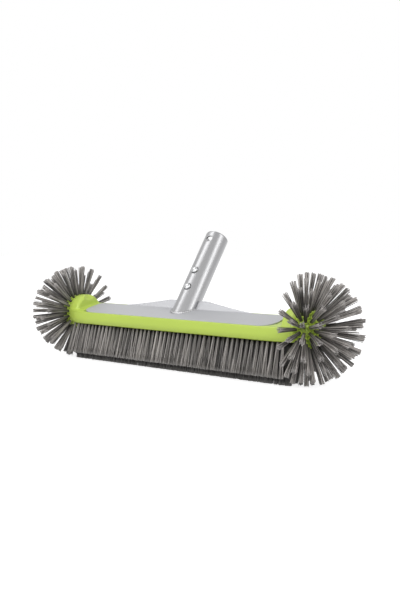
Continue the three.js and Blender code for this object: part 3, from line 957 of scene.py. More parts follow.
@dataclass
class BackPlate:
    """Sheet plate: a strip along the body and a wing bent up from it. Millimetres."""

    finish: Finish
    handle: HandleFrame
    thickness: float = 2.0
    width: float = PLATE_WIDTH
    half: float = PLATE_HALF
    slope: float = PLATE_SLOPE
    bend_radius: float = 1.6
    front_round: float = 20.0
    rear_round: float = 7.0
    wing_height: float = 12.0
    wing_top: float = 27.0
    wing_foot: float = 90.0
    wing_edge: float = 0.3
    wing_flare: float = 1.2
    notch: float = 14.5
    edge: float = 0.35
    station: float = 2.0
    station_gap: float = 0.9
    corner_steps: int = 16

    def __post_init__(self) -> None:
        """Finds the front edge of the plate and the bend."""
        low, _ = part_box("back_plate")
        slope = math.radians(self.slope)
        self.fold_y = low.y / MM + self.width * math.cos(slope)
        lift = self.thickness / 2.0 * math.sin(self.handle.lean)
        self.fold_z = self.handle.origin.z / MM + lift
        self.turn = math.pi / 2.0 - self.handle.lean - slope
        self.reach = self.bend_radius * math.tan(self.turn / 2.0)

    def _profile(self, run: float) -> tuple[float, float]:
        """Place on the top face at a distance from the front edge, along the sheet.

        Args:
            run: distance along the sheet.

        Returns:
            Its y and z.
        """
        slope = math.radians(self.slope)
        start = self.width - self.reach
        if run <= start:
            back = run - self.width
            return self.fold_y + back * math.cos(slope), self.fold_z + back * math.sin(slope)
        bent = self.bend_radius * self.turn
        angle = slope + min(run - start, bent) / self.bend_radius
        centre_y = self.fold_y - self.reach * math.cos(slope) - self.bend_radius * math.sin(slope)
        centre_z = self.fold_z - self.reach * math.sin(slope) + self.bend_radius * math.cos(slope)
        y = centre_y + self.bend_radius * math.sin(angle)
        z = centre_z - self.bend_radius * math.cos(angle)
        rest = max(run - start - bent, 0.0)
        return y + rest * math.cos(angle), z + rest * math.sin(angle)

    def _ends(self, x: float) -> tuple[float, float]:
        """Where the sheet starts and stops at a distance x from the middle.

        Args:
            x: distance from the middle.

        Returns:
            The first and the last place along the sheet.
        """
        inset = max(x - (self.half - self.front_round), 0.0)
        first = self.front_round - math.sqrt(max(self.front_round**2 - inset**2, 0.0))
        inset = max(x - (self.half - self.rear_round), 0.0)
        last = self.width - self.rear_round + math.sqrt(max(self.rear_round**2 - inset**2, 0.0))
        if x <= self.wing_foot:
            last += self._wing(x)
        return first, last

    def _wing(self, x: float) -> float:
        """Height of the wing at a distance x from the middle.

        Args:
            x: distance from the middle.

        Returns:
            The height over the bend.
        """
        if x <= self.wing_top:
            return self.wing_height
        share = (x - self.wing_top) / (self.wing_foot - self.wing_top)
        rest = max(1.0 - share, 0.0) ** self.wing_flare
        return self.wing_edge + (self.wing_height - self.wing_edge) * rest

    def _columns(self) -> list[float]:
        """Stations along the plate, closer at the round corners.

        Returns:
            Distances from the middle, in order.
        """
        count = int((self.half - self.front_round) / self.station) + 1
        fixed = (self.notch, self.wing_foot)
        plain = [self.station * step for step in range(count)]
        plain = [x for x in plain if all(abs(x - place) > self.station_gap for place in fixed)]
        turns = [math.pi / 2.0 * (i + 1) / self.corner_steps for i in range(self.corner_steps)]
        corner = [self.half - self.front_round * (1.0 - math.sin(turn)) for turn in turns]
        return sorted({*plain, *fixed, *corner})

    def build(self) -> Object:
        """Builds the plate from columns of points, gives it a thickness and rounds its edges.

        Returns:
            The finished piece.
        """
        right = self._columns()
        columns = [-x for x in reversed(right) if x > 0.0] + right
        start = self.width - self.reach
        bent = self.bend_radius * self.turn
        strip_rows, bend_rows, wing_rows = 8, 5, 6
        points = []
        faces = []
        rows = strip_rows + bend_rows + wing_rows + 1
        for x in columns:
            first, last = self._ends(abs(x))
            runs = [first + (min(start, last) - first) * i / strip_rows for i in range(strip_rows + 1)]
            runs += [start + bent * i / bend_rows for i in range(1, bend_rows + 1)]
            tail = max(last - start - bent, 0.0)
            runs += [start + bent + tail * i / wing_rows for i in range(1, wing_rows + 1)]
            points += [(x, *self._profile(min(run, last))) for run in runs]
        for column in range(len(columns) - 1):
            middle = abs(columns[column] + columns[column + 1]) / 2.0
            top = rows - 1 if middle > self.notch else strip_rows
            for row in range(top):
                here = column * rows + row
                faces.append((here, here + rows, here + rows + 1, here + 1))
        scaled = [tuple(value * MM for value in point) for point in points]
        plate = mesh_object("plate", scaled, faces)
        self._face_up(plate)
        shell = plate.modifiers.new("sheet", "SOLIDIFY")
        shell.thickness = self.thickness * MM
        shell.offset = -1.0
        shell.use_even_offset = True
        settle(plate)
        bevel(plate, self.edge * MM, 50.0)
        smooth(plate, 40.0)
        return hand_over(plate, self.finish, BODY, "back_plate")

    @staticmethod
    def _face_up(plate: Object) -> None:
        """Turns the open sheet so that its normals point up and forwards.

        Args:
            plate: the open sheet.
        """
        total = sum((face.normal.z * face.area for face in plate.data.polygons), 0.0)
        if total < 0.0:
            plate.data.flip_normals()


@dataclass
class Handle:
    """Handle tube with its holes, weld beads, spring clip and snap buttons. Millimetres."""

    tube_finish: Finish
    weld_finish: Finish
    spring_finish: Finish
    button_finish: Finish
    handle: HandleFrame
    radius: float = 14.3
    wall: float = 1.6
    sides: int = 96
    rings: int = 64
    cut_edge: float = 0.28
    pin_hole: float = 4.3
    pin_hole_at: float = 96.5
    button_hole: float = 4.7
    button_at: tuple[float, float] = (23.0, 47.5)
    button_radius: float = 4.2
    button_proud: float = 3.1
    shoulder: float = 0.5
    leg_offset: float = 10.75
    leg_half: float = 0.8
    rivet_radius: float = 2.3
    rivet_neck: float = 1.2
    rivet_height: float = 0.9
    rivet_tail: float = 1.7
    rivet_lip: float = 0.5
    weld_radius: float = 2.0
    weld_sides: int = 14
    ripple: float = 0.22
    ripples: int = 22
    wrap: float = 0.03
    seam_start: float = 1.5
    seam_length: float = 9.5
    seam_out: float = 0.4
    seam_back: float = 1.3
    plate_slope: float = PLATE_SLOPE
    plate_half: float = 1.0

    def build(self) -> None:
        """Builds and dresses every piece of the handle."""
        self._tube()
        self._front_bead()
        for side, name in ((-1.0, "weld_bead_left"), (1.0, "weld_bead_right")):
            self._side_bead(side, name)
        for body, side in (("front_leg", -1.0), ("rear_leg", 1.0)):
            word = body.split("_")[0]
            for place, along in zip(("lower", "upper"), self.button_at):
                self._button(f"snap_button_{word}_{place}", body, side, along)
        for name in ("clip_bend", "clip_leg_front", "clip_leg_rear"):
            dress_node(name, self.spring_finish)

    def _tube(self) -> Object:
        """The drawn tube: a wall with cross holes, cut to the plate at its foot.

        Returns:
            The finished piece.
        """
        bore = self.radius - self.wall
        low, high = -2.0 * self.radius, self.handle.length
        heights = [low + (high - low) * step / self.rings for step in range(self.rings + 1)]
        profile = [(self.radius, z) for z in heights] + [(bore, z) for z in reversed(heights)]
        profile.append(profile[0])
        tube = lathe("tube", [(r * MM, z * MM) for r, z in profile], self.sides)
        holes = [(self.pin_hole_at, self.pin_hole)]
        holes += [(along, self.button_hole) for along in self.button_at]
        for along, radius in holes:
            drill = drum("drill", radius * MM, -2.0 * self.radius * MM, 2.0 * self.radius * MM, 48)
            turn = Matrix.Translation((0.0, 0.0, along * MM)) @ Matrix.Rotation(math.pi / 2.0, 4, "X")
            cut(tube, placed(drill, turn))
        placed(tube, self.handle.matrix)
        for slab in self._foot_slabs():
            cut(tube, slab)
        bevel(tube, self.cut_edge * MM, 45.0)
        smooth(tube, 30.0)
        return hand_over(tube, self.tube_finish, BODY, "handle_tube")

    def _foot_slabs(self) -> list[Object]:
        """Blocks below the top of the plate that trim the foot of the tube.

        Returns:
            The block under the plate and the one behind its fold.
        """
        fold = self.handle.origin + self.handle.matrix.to_3x3() @ Vector((0.0, -self.plate_half * MM, 0.0))
        slope = math.radians(self.plate_slope)
        place = Matrix.Translation(fold) @ Matrix.Rotation(slope, 4, "X")
        reach, past, above = 0.06, 0.004, 0.0001
        under = block("under_plate", (-reach, -reach, -reach), (reach, past, above))
        behind = block("behind_fold", (-reach, 0.0, -reach), (reach, reach + past, above))
        return [placed(under, place), placed(behind, Matrix.Translation(fold))]

    def _bead(self, name: str, path: Callable[[float], Vector], ripples: int, steps: int) -> Object:
        """Sweeps a rippled round bead along a path.

        Args:
            name: name of the object.
            path: place at a share from 0 to 1, in metres.
            ripples: number of ripples along the bead.
            steps: rings along the bead.

        Returns:
            The bead, closed by a point at each end.
        """
        sides = self.weld_sides
        points = []
        faces = []
        for step in range(steps + 1):
            share = step / steps
            centre = path(share)
            ahead = (path(min(share + 0.01, 1.0)) - path(max(share - 0.01, 0.0))).normalized()
            across = ahead.cross(self.handle.axis).normalized()
            up = ahead.cross(across)
            taper = math.sqrt(max(math.sin(math.pi * min(max(share, 0.0), 1.0)), 0.0)) ** 0.35
            wave = abs(math.sin(math.pi * ripples * share))
            radius = (self.weld_radius - self.ripple + self.ripple * wave) * taper * MM
            for side in range(sides):
                angle = 2.0 * math.pi * side / sides
                points.append(centre + radius * (math.cos(angle) * across + math.sin(angle) * up))
            if step < steps:
                here = step * sides
                faces += [(here + i, here + (i + 1) % sides, here + sides + (i + 1) % sides,
                           here + sides + i) for i in range(sides)]
        return smooth(mesh_object(name, points, faces), 50.0)

    def _front_bead(self) -> None:
        """The bead round the front of the foot, from wing to wing."""
        steep = math.tan(self.handle.lean + math.radians(self.plate_slope))

        def path(share: float) -> Vector:
            """Place on the line where the tube meets the plate.

            Args:
                share: 0 at one wing and 1 at the other.

            Returns:
                The place, in metres.
            """
            angle = math.pi * (1.0 + self.wrap - (1.0 + 2.0 * self.wrap) * share)
            forward = self.radius * math.sin(angle)
            along = -(forward - self.plate_half) * steep
            place = Vector((self.radius * math.cos(angle), -forward, along)) * MM
            return self.handle.matrix @ place

        bead = self._bead("front_weld", path, self.ripples, 8 * self.ripples)
        hand_over(bead, self.weld_finish, BODY, "weld_bead_front")

    def _side_bead(self, side: float, node: str) -> None:
        """The upright bead behind the wing, on one side of the tube.

        Args:
            side: -1 for the left side and 1 for the right.
            node: the node that the bead replaces.
        """

        def path(share: float) -> Vector:
            """Place along the corner between the tube and the back of the wing.

            Args:
                share: 0 at the foot and 1 at the top.

            Returns:
                The place, in metres.
            """
            along = self.seam_start + self.seam_length * share
            out = side * (self.radius + self.seam_out)
            return self.handle.matrix @ (Vector((out, self.seam_back, along)) * MM)

        ripples = self.ripples // 3 - 1
        bead = self._bead(node.replace("bead_", "") + "_seam", path, ripples, 8 * ripples)
        hand_over(bead, self.weld_finish, BODY, node)

    def _button(self, node: str, body: str, side: float, along: float) -> None:
        """One domed snap button with its rivet, on a leg of the clip.

        Args:
            node: the node that the button replaces.
            body: the leg that it rides on.
            side: -1 for the front and 1 for the rear.
            along: place along the handle.
        """
        leg_inner = self.leg_offset - self.leg_half
        leg_outer = self.leg_offset + self.leg_half
        straight = self.radius + self.shoulder
        top = self.radius + self.button_proud
        dome = top - straight
        tail, rim = leg_inner - self.rivet_height, leg_inner - self.rivet_lip
        profile = [(0.0, tail), (self.rivet_tail, tail), (self.rivet_radius, rim),
                   (self.rivet_radius, leg_inner), (self.rivet_neck, leg_inner),
                   (self.rivet_neck, leg_outer), (self.button_radius, leg_outer)]
        steps = 10
        for step in range(steps + 1):
            angle = math.pi / 2.0 * step / steps
            profile.append((self.button_radius * math.cos(angle), straight + dome * math.sin(angle)))
        button = lathe(node.replace("snap_", ""), [(r * MM, z * MM) for r, z in profile], 40)
        turn = Matrix.Rotation(-side * math.pi / 2.0, 4, "X")
        placed(button, self.handle.matrix @ Matrix.Translation((0.0, 0.0, along * MM)) @ turn)
        smooth(button, 35.0)
        hand_over(button, self.button_finish, body, node)


def dress_node(name: str, finish: Finish) -> None:
    """Gives one of the frame's own nodes a finish.

    Args:
        name: name of the node.
        finish: its finish.
    """
    node = frame["nodes"][name]
    node.data.materials.clear()
    node.data.materials.append(finish.material())


# ------------------------------------------------------------------ fasteners


@dataclass
class Fasteners:
    """The screws that hold the plate from below, and their press nuts. Millimetres."""

    finish: Finish
    head_radius: float = 2.6
    head_height: float = 1.8
    crown: float = 0.8
    sides: int = 24
    shank: float = 1.5
    slot: float = 0.7
    slot_depth: float = 0.9
    slot_reach: float = 1.7
    seed: int = 4

    def build(self) -> None:
        """Builds one screw, sets a copy in each place with Geometry Nodes and dresses the nuts."""
        names = sorted(name for name in frame["nodes"] if name.startswith("plate_screw_"))
        boxes = [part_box(name) for name in names]
        low, high = boxes[0]
        length = (high.z - low.z) / MM
        crown = arc((self.head_radius - self.crown, self.crown), self.crown, 270.0, 360.0, 4)
        profile = [(0.0, 0.0), *crown, (self.head_radius, self.head_height),
                   (self.shank, self.head_height), (self.shank, length), (0.0, length)]
        screw = lathe("screw", [(r * MM, z * MM) for r, z in profile], self.sides)
        for turn in (0.0, math.pi / 2.0):
            cut(screw, self._slot_block(turn))
        smooth(screw, 40.0)
        centres = [((a + b) / 2.0).xy.to_3d() + Vector((0.0, 0.0, a.z)) for a, b in boxes]
        seats = mesh_object("plate_screws", centres, [])
        self._repeat(seats, screw)
        bpy.data.objects.remove(screw)
        smooth(seats, 40.0)
        hand_over(seats, self.finish, BODY, *names)
        for name in frame["nodes"]:
            if name.startswith("plate_nut_"):
                dress_node(name, self.finish)

    def _slot_block(self, turn: float) -> Object:
        """One arm of the cross in a screw's head."""
        half = [size * MM for size in (self.slot_reach, self.slot / 2.0, self.slot_depth)]
        return placed(block("slot", [-size for size in half], half), Matrix.Rotation(turn, 4, "Z"))

    def _repeat(self, seats: Object, screw: Object) -> None:
        """Puts a copy of the screw on each point of seats, turned by a different amount.

        Args:
            seats: an object with a point at each place.
            screw: the screw to copy.
        """
        row = Growth("screw_row", {"seed": "Int"})
        graph = row.graph
        model = graph.node("GeometryNodeObjectInfo", {"transform_space": "ORIGINAL"}, {"Object": screw})
        turn = graph.combine(0.0, 0.0, row.random(0.0, math.pi, 0))
        row.end(row.copies(row.input("Geometry"), model.outputs["Geometry"], turn), self.finish)
        row.bake(seats, {"seed": self.seed})


# ------------------------------------------------------------------ bristles


@dataclass(frozen=True)
class Tuft:
    """One tuft: its root, the unit direction it points in and its length, in metres."""

    root: Vector
    aim: Vector
    length: float


@dataclass(frozen=True)
class TuftStyle:
    """How the filaments of a tuft spread, in millimetres; pale scales their tone as painted light above one
    and painted shade below it, and shade sets the painted shade at their roots.
    """

    filaments: int = 26
    filament: float = 0.36
    root: float = 1.35
    tip: float = 2.6
    bend: float = 1.1
    uneven: float = 0.03
    wobble: float = 0.02
    # Painted light and shade: above one it lightens a whole row or ball, below one it darkens it.
    pale: float = 1.0
    contrast: float = 1.5
    # Strength of the painted shade near the roots.
    shade: float = 0.2
    seed: int = 1


def root_points(name: str, tufts: list[Tuft]) -> Object:
    """Points at the roots of some tufts, each with the direction that its tuft points in.

    Args:
        name: name of the object.
        tufts: where the tufts stand.

    Returns:
        The object that holds the points.
    """
    mesh = bpy.data.meshes.new(name)
    mesh.from_pydata([tuft.root for tuft in tufts], [], [])
    aims = [part for tuft in tufts for part in tuft.aim]
    mesh.attributes.new("aim", "FLOAT_VECTOR", "POINT").data.foreach_set("vector", aims)
    return new_object(name, mesh)


class TuftTree(Growth):
    """Grows filaments from tuft points, with one input for each field of TuftStyle."""

    GOLDEN_ANGLE = 2.39996
    FULL_TURN = 6.28

    def __init__(self, finish: Finish) -> None:
        """Builds the tree, which every row and ring shares.

        Args:
            finish: finish of the filaments.
        """
        super().__init__("tuft_growth", {
            field.name: "Int" if isinstance(field.default, int) else "Float" for field in fields(TuftStyle)})
        self.finish = finish
        self._grow()

    def _filament(self) -> Socket:
        """One filament of unit height that bends towards +X, with its own 'along' attribute.

        Returns:
            The filament's geometry.
        """
        graph = self.graph
        rod = graph.node("GeometryNodeMeshCylinder", {"fill_type": "NGON"}, {
            "Vertices": 5, "Side Segments": 4, "Fill Segments": 1, "Radius": 1.0, "Depth": 1.0})
        where = graph.value("GeometryNodeInputPosition")
        x, y, z = graph.split(where)
        along = z + 0.5
        slim = 1.0 - along * 0.12
        bent = x * slim + along * along * (self.input("bend") / self.input("filament"))
        shaped = graph.node("GeometryNodeSetPosition", None, {
            "Geometry": rod.outputs["Mesh"], "Position": graph.combine(bent, y * slim, along)})
        return self._store("POINT", shaped.outputs[0], "along", z)

    def _store(self, domain: str, geometry: Socket, name: str, value: Value) -> Socket:
        """Stores a number under a name on each point or instance, read after what came before.

        Args:
            domain: POINT or INSTANCE.
            geometry: what holds the number.
            name: name of the attribute.
            value: the number.

        Returns:
            The geometry with the attribute.
        """
        settings = {"data_type": "FLOAT", "domain": domain}
        inputs = {"Geometry": geometry, "Name": name, "Value": value}
        return self.graph.node("GeometryNodeStoreNamedAttribute", settings, inputs).outputs[0]

    def _grow(self) -> None:
        """Adds the nodes that copy, place, turn and scale the filaments."""
        graph = self.graph
        copies = graph.node("GeometryNodeDuplicateElements", {"domain": "POINT"}, {
            "Geometry": self.input("Geometry"), "Amount": self.input("filaments")})
        number = Value(graph, copies.outputs["Duplicate Index"])
        tuft = self.named("tuft", "INT")
        wobble = graph.combine(*(self.random(-1.0, 1.0, salt, tuft) for salt in (7, 8, 9)))
        wobble = graph.scaled(wobble, self.input("wobble"))
        aim = graph.vector("NORMALIZE", graph.vector("ADD", self.named("aim", "FLOAT_VECTOR"), wobble))
        length = self.named("length", "FLOAT")
        share = ((number + 0.5) / self.input("filaments")).root()
        angle = number * self.GOLDEN_ANGLE + self.random(0.0, self.FULL_TURN, 1, tuft)
        jitter = self.random(-0.35, 0.35, 2)
        disc = graph.combine(share * (angle + jitter).cosine(), share * (angle + jitter).sine(), 0.0)
        frame_turn = graph.upright(aim)
        flat = graph.value("FunctionNodeRotateVector", None, {"Vector": disc, "Rotation": frame_turn})
        where = graph.value("GeometryNodeInputPosition")
        root = graph.vector("ADD", where, graph.scaled(flat, self.input("root") * MM))
        trimmed = length * (1.0 - self.random(0.0, 1.0, 3) * self.input("uneven"))
        tip = graph.vector("ADD", where, graph.scaled(aim, trimmed))
        tip = graph.vector("ADD", tip, graph.scaled(flat, self.input("tip") * MM))
        span = graph.vector("SUBTRACT", tip, root)
        reach = graph.vector("LENGTH", span, output="Value")
        turn = graph.upright(span)
        spin = graph.value("FunctionNodeAxisAngleToRotation", None,
                           {"Axis": (0.0, 0.0, 1.0), "Angle": self.random(0.0, self.FULL_TURN, 4)})
        turn = graph.value("FunctionNodeRotateRotation", {"rotation_space": "LOCAL"},
                           {"Rotation": turn, "Rotate By": spin})
        thick = self.input("filament") * MM
        moved = graph.node("GeometryNodeSetPosition", None, {
            "Geometry": copies.outputs["Geometry"], "Position": root})
        size = graph.combine(thick, thick, reach)
        grown = self.copies(moved.outputs[0], self._filament(), turn, Scale=size)
        own = self.random(0.0, 1.0, 5) ** self.input("contrast")
        # Random tone of each filament, scaled by the style's pale factor, which paints light and shade on
        # whole rows and balls.
        tone = (0.85 * own + 0.15 * self.random(0.0, 1.0, 6, tuft)) * self.input("pale")
        toned = self._store("INSTANCE", grown, "tone", tone)
        # Strength of the painted shade at the root, read by the filament material.
        shaded = self._store("INSTANCE", toned, "shade", self.input("shade"))
        self.end(shaded, self.finish)

    def grow(self, name: str, tufts: list[Tuft], style: TuftStyle) -> Object:
        """Grows the filaments of some tufts.

        Args:
            name: name of the object.
            tufts: where the tufts stand.
            style: how their filaments spread.

        Returns:
            A plain mesh object at the origin.
        """
        piece = root_points(name, tufts)
        marks = piece.data.attributes
        marks.new("tuft", "INT", "POINT").data.foreach_set("value", range(len(tufts)))
        lengths = [tuft.length for tuft in tufts]
        marks.new("length", "FLOAT", "POINT").data.foreach_set("value", lengths)
        self.bake(piece, asdict(style))
        piece.data.shade_smooth()
        return piece


@dataclass(frozen=True)
class RowPlan:
    """One row of tufts: its node, its place across the body, its splay and its tip height."""

    node: str
    place: float
    splay: float
    tip_height: float
    style: TuftStyle


@dataclass
class BristleRows:
    """The five rows of tufts under the bar. Millimetres and degrees."""

    finish: Finish
    trees: TuftTree
    spacing: float = 10.75
    pitch: float = 6.0
    per_side: int = 25
    root_height: float = BAR_BOTTOM
    sunk: float = 0.6
    flare: float = 2.8
    flared: int = 5
    outer_splay: float = 15.5
    outer_tip: float = 10.4
    inner_splay: float = 4.0
    inner_tip: float = 0.35
    first_seed: int = 11
    # Both styles paint shade at the roots. The inner rows, the same nylon as the outer ones, are also
    # darkened all along by pale=0.12, as painted shade for the shadow under the bar.
    outer: TuftStyle = TuftStyle(filaments=26, root=1.0, tip=3.1, bend=0.9, uneven=0.03, wobble=0.012)
    inner: TuftStyle = TuftStyle(filaments=40, filament=0.5, root=2.5, tip=3.4, bend=0.9,
                                 uneven=0.006, wobble=0.012, pale=0.12, shade=0.9)

    def build(self) -> None:
        """Grows each row and dresses it."""
        outer = (self.outer_splay, self.outer_tip, self.outer)
        inner = (self.inner_splay, self.inner_tip, self.inner)
        plans = (RowPlan("bristle_row_front", -2.0, *outer),
                 RowPlan("bristle_row_front_inner", -1.0, *inner),
                 RowPlan("bristle_row_centre", 0.0, 0.0, self.inner_tip, self.inner),
                 RowPlan("bristle_row_rear_inner", 1.0, *inner),
                 RowPlan("bristle_row_rear", 2.0, *outer))
        for index, plan in enumerate(plans):
            tufts = [self._tuft(plan, step) for step in range(-self.per_side, self.per_side)]
            style = replace(plan.style, seed=self.first_seed + index)
            row = self.trees.grow(plan.node + "_tufts", tufts, style)
            hand_over(row, self.finish, BODY, plan.node)

    def _tuft(self, plan: RowPlan, step: int) -> Tuft:
        """One tuft of a row.

        Args:
            plan: the row.
            step: number of the tuft, counted from the middle.

        Returns:
            The tuft.
        """
        x = (step + 0.5) * self.pitch
        root = Vector((x, plan.place * self.spacing, self.root_height + self.sunk)) * MM
        side = math.copysign(1.0, plan.place) if plan.place else 0.0
        splay = math.radians(plan.splay) * side
        past = max(abs(x) / self.pitch - (self.per_side - self.flared), 0.0) / self.flared
        out = math.copysign(self.flare * past * past, x)
        drop = self.root_height + self.sunk - plan.tip_height
        span = Vector((out, drop * math.tan(splay), -drop)) * MM
        return Tuft(root, span.normalized(), span.length)


@dataclass(frozen=True)
class Ring:
    """One ring of tufts on a dome: angle from its axis, count and turn of the first, in degrees."""

    angle: float
    count: int
    first: float


@dataclass
class BristleBalls:
    """The ball of tufts on the dome at each end, with the collars round the roots. Millimetres."""

    finish: Finish
    collar_finish: Finish
    trees: TuftTree
    body: MouldedBody
    ball_radius: float = 59.0
    inset: float = 2.75
    # Painted light and shade: the balls' tufts, the same nylon as the rows, are lightened by pale=1.8 and
    # darkened near their roots by shade=0.8.
    style: TuftStyle = TuftStyle(filaments=24, filament=0.38, root=1.45, tip=2.5, bend=0.9,
                                 uneven=0.035, pale=1.8, contrast=2.6, shade=0.8)
    collar_height: float = 4.2
    collar_radius: float = 2.2
    collar_wall: float = 0.5
    collar_lift: float = 0.62
    collar_sides: int = 14
    collar_edge_sides: int = 6
    rings: tuple[Ring, ...] = (
        Ring(91.5, 20, 5.0),
        Ring(80.5, 20, 14.0),
        Ring(68.0, 19, 12.0),
        Ring(52.0, 17, 14.0),
        Ring(37.0, 13, 3.0),
        Ring(22.5, 8, 18.0),
        Ring(8.0, 3, 110.0),
    )

    def build(self) -> None:
        """Grows each ring on both sides and sets the collars."""
        for side, word in ((-1.0, "left"), (1.0, "right")):
            everything = []
            for index, ring in enumerate(self.rings):
                node = f"ball_{word}_ring_{index + 1}"
                tufts = [self._tuft(side, ring, step) for step in range(ring.count)]
                everything += tufts
                style = replace(self.style, seed=31 + 10 * index + int(side))
                piece = self.trees.grow(node + "_tufts", tufts, style)
                hand_over(piece, self.finish, BODY, node)
            self._collars(f"collars_{word}", everything)

    def _tuft(self, side: float, ring: Ring, step: int) -> Tuft:
        """One tuft of a ring, from the dome to the surface of the ball.

        Args:
            side: -1 for the left ball and 1 for the right.
            ring: the ring.
            step: number of the tuft in its ring.

        Returns:
            The tuft.
        """
        tilt = math.radians(ring.angle)
        turn = math.radians(ring.first + step * 360.0 / ring.count)
        across = math.sin(tilt)
        offset = self.inset * math.cos(tilt)
        outer = offset + math.sqrt(offset**2 + self.ball_radius**2 - self.inset**2)
        aim = Vector((side * math.cos(tilt), -across * math.cos(turn), across * math.sin(turn)))
        centre = Vector((side * self.body.dome_x, 0.0, self.body.head_z))
        start = self.body.dome_radius - 0.4
        return Tuft((centre + aim * start) * MM, aim, (outer - start) * MM)

    def _collars(self, name: str, tufts: list[Tuft]) -> None:
        """Sets a raised collar round the root of each tuft with Geometry Nodes.

        Args:
            name: name of the object.
            tufts: the tufts of one ball.
        """
        sizes = {"radius": self.collar_radius, "wall": self.collar_wall, "height": self.collar_height}
        collars = Growth(name, dict.fromkeys(sizes, "Float"))
        graph = collars.graph
        radius, wall, height = (collars.input(label) * MM for label in sizes)
        circle = "GeometryNodeCurvePrimitiveCircle"
        loop = graph.node(circle, {"mode": "RADIUS"}, {"Resolution": self.collar_sides, "Radius": radius})
        edge = graph.node(circle, {"mode": "RADIUS"}, {"Resolution": self.collar_edge_sides, "Radius": 1.0})
        oval = graph.node("GeometryNodeTransform", None, {
            "Geometry": edge.outputs["Curve"], "Scale": graph.combine(wall, height * 0.5, 1.0)})
        collar = graph.node("GeometryNodeCurveToMesh", None, {
            "Curve": loop.outputs["Curve"], "Profile Curve": oval.outputs[0]})
        lifted = graph.node("GeometryNodeTransform", None, {
            "Geometry": collar.outputs[0], "Translation": graph.combine(0.0, 0.0, height * self.collar_lift)})
        turn = graph.upright(collars.named("aim", "FLOAT_VECTOR"))
        around = collars.copies(collars.input("Geometry"), lifted.outputs[0], turn)
        collars.end(around, self.collar_finish)
        piece = collars.bake(root_points(name, tufts), sizes)
        piece.data.shade_smooth()
        hand_over(piece, self.collar_finish, BODY)


# ------------------------------------------------------------------ studio


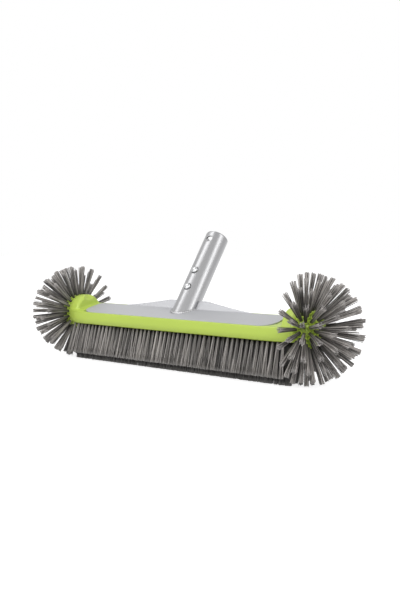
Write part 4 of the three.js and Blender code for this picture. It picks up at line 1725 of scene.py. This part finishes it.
@dataclass
class Studio:
    """Floor, backdrop, lamps and camera."""

    azimuth: float = 34.0
    elevation: float = 7.97
    distance: float = 0.7224
    focal: float = 628.0
    frame_height: float = 600.0
    sensor: float = 36.0
    centre_drop: float = 32.7
    floor_glow: float = 0.8
    floor_tone: float = 0.54
    floor_reach: float = 6.0
    aim_height: float = 0.08
    target: tuple[float, float, float] = (0.0298, 0.0, 0.045)

    def build(self) -> None:
        """Builds everything that isn't the object."""
        self._camera()
        self._world()
        self._floor()
        self._lamp("left_strip", (-0.44, -0.17, 0.88), 1.3, (0.5, 0.8), 2.15)
        self._lamp("right_strip", (0.845, 0.21, 0.5), 1.3, (0.3, 1.1), 2.8)
        self._lamp("front_panel", (0.2, -0.85, 0.5), 1.6, (2.0, 1.1), 2.5)
        scene = bpy.context.scene
        scene.view_settings.view_transform = "Standard"

    def _camera(self) -> None:
        """The camera, at the viewing angle."""
        a, e = math.radians(self.azimuth), math.radians(self.elevation)
        back = Vector((math.sin(a) * math.cos(e), -math.cos(a) * math.cos(e), math.sin(e)))
        data = bpy.data.cameras.new("camera")
        data.sensor_width = self.sensor
        data.lens = self.focal * self.sensor / self.frame_height
        data.shift_y = self.centre_drop / self.frame_height
        data.clip_start = 0.01
        camera = bpy.data.objects.new("camera", data)
        camera.location = Vector(self.target) + back * self.distance
        camera.rotation_euler = back.to_track_quat("Z", "Y").to_euler()
        bpy.context.scene.collection.objects.link(camera)
        bpy.context.scene.camera = camera

    def _world(self) -> None:
        """A pale room for the light, and plain white for the rays that show the backdrop."""
        world = bpy.data.worlds.new("studio")
        bpy.context.scene.world = world
        world.use_nodes = True
        world.node_tree.nodes.clear()
        graph = Graph(world.node_tree)
        coordinates = graph.value("ShaderNodeTexCoord", None, None, "Generated")
        _, _, height = graph.split(coordinates)
        ramp = graph.node("ShaderNodeValToRGB", {"stops": [
            (0.0, (0.35, 0.35, 0.35)), (0.5, (0.5, 0.5, 0.51)), (0.69, (0.86, 0.86, 0.87)),
            (0.8, (0.6, 0.6, 0.61)), (1.0, (0.36, 0.36, 0.37))]}, {0: height * 0.5 + 0.5})
        room, white = (graph.node("ShaderNodeBackground", None, {"Color": colour, "Strength": 1.0})
                       for colour in (ramp.outputs[0], WHITE))
        mixed = graph.node("ShaderNodeMixShader", None, {
            0: self._backdrop_ray(graph), 1: room.outputs[0], 2: white.outputs[0]})
        graph.node("ShaderNodeOutputWorld", None, {"Surface": mixed.outputs[0]})

    def _floor(self) -> None:
        """A white floor that shows only the object's soft shadow."""
        reach = self.floor_reach
        corners = [(-reach, -reach, 0.0), (reach, -reach, 0.0), (reach, reach, 0.0), (-reach, reach, 0.0)]
        floor = mesh_object("floor", corners, [(0, 1, 2, 3)])
        material = bpy.data.materials.new("floor_white")
        material.use_nodes = True
        material.node_tree.nodes.clear()
        graph = Graph(material.node_tree)
        matt = graph.node("ShaderNodeBsdfDiffuse", None, {"Color": darker(WHITE[:3], self.floor_tone)})
        strength = self._backdrop_ray(graph) * self.floor_glow
        glow = graph.node("ShaderNodeEmission", None, {"Color": WHITE, "Strength": strength})
        both = graph.node("ShaderNodeAddShader", None, {0: matt.outputs[0], 1: glow.outputs[0]})
        graph.node("ShaderNodeOutputMaterial", None, {"Surface": both.outputs[0]})
        floor.data.materials.append(material)

    @staticmethod
    def _backdrop_ray(graph: Graph) -> Value:
        """One for a ray that shows the backdrop: straight, mirrored or through glass.

        Args:
            graph: node tree of the world or of the floor's material.

        Returns:
            One for such a ray and zero for the rays that light the object.
        """
        path = graph.node("ShaderNodeLightPath")
        straight = Value(graph, path.outputs["Is Camera Ray"])
        mirrored = Value(graph, path.outputs["Is Glossy Ray"])
        through = Value(graph, path.outputs["Is Transmission Ray"])
        return straight.above(mirrored).above(through)

    def _lamp(self, name: str, way: tuple[float, float, float], distance: float,
              size: tuple[float, float], radiance: float) -> None:
        """A soft rectangular lamp that points at the middle of the brush.

        Args:
            name: name of the lamp.
            way: direction from the brush to the lamp.
            distance: how far away it stands.
            size: its width and its height.
            radiance: its brightness, where 1 is white.
        """
        data = bpy.data.lights.new(name, "AREA")
        data.shape = "RECTANGLE"
        data.size, data.size_y = size
        data.energy = radiance * math.pi * size[0] * size[1]
        lamp = bpy.data.objects.new(name, data)
        aim = Vector(way).normalized()
        lamp.location = aim * distance + Vector((0.0, 0.0, self.aim_height))
        lamp.rotation_euler = aim.to_track_quat("Z", "Y").to_euler()
        bpy.context.scene.collection.objects.link(lamp)


# ------------------------------------------------------------------ assembly


def main() -> None:
    handle = HandleFrame()
    lime = MouldedPlastic(Slot.LIME, (0.50, 0.625, 0.095), 0.32)
    plate = SatinSheet(Slot.PLATE, (0.51, 0.514, 0.53), 0.6, 0.85)
    tube = DrawnTubing(Slot.TUBE, (0.38, 0.38, 0.387), 0.29, 1.0, lean=handle.lean)
    weld = RoughMetal(Slot.WELD, (0.46, 0.46, 0.468), 0.34, 1.0)
    spring = RoughMetal(Slot.SPRING, (0.42, 0.42, 0.43), 0.3, 1.0, grain=0.4)
    button = RoughMetal(Slot.BUTTON, (0.58, 0.585, 0.595), 0.2, 1.0, grain=0.5, relief=0.04)
    zinc = RoughMetal(Slot.ZINC, (0.40, 0.408, 0.424), 0.38, 1.0)
    nylon = Filaments(Slot.NYLON, (0.04, 0.038, 0.036), 0.4)

    body = MouldedBody(lime)
    body.build()
    BackPlate(plate, handle).build()
    Handle(tube, weld, spring, button, handle).build()
    Fasteners(zinc).build()
    trees = TuftTree(nylon)
    BristleRows(nylon, trees).build()
    BristleBalls(nylon, lime, trees, body).build()
    Studio().build()


if __name__ == "__main__":
    logging.basicConfig(level=logging.INFO, format="%(name)s: %(message)s")
    main()
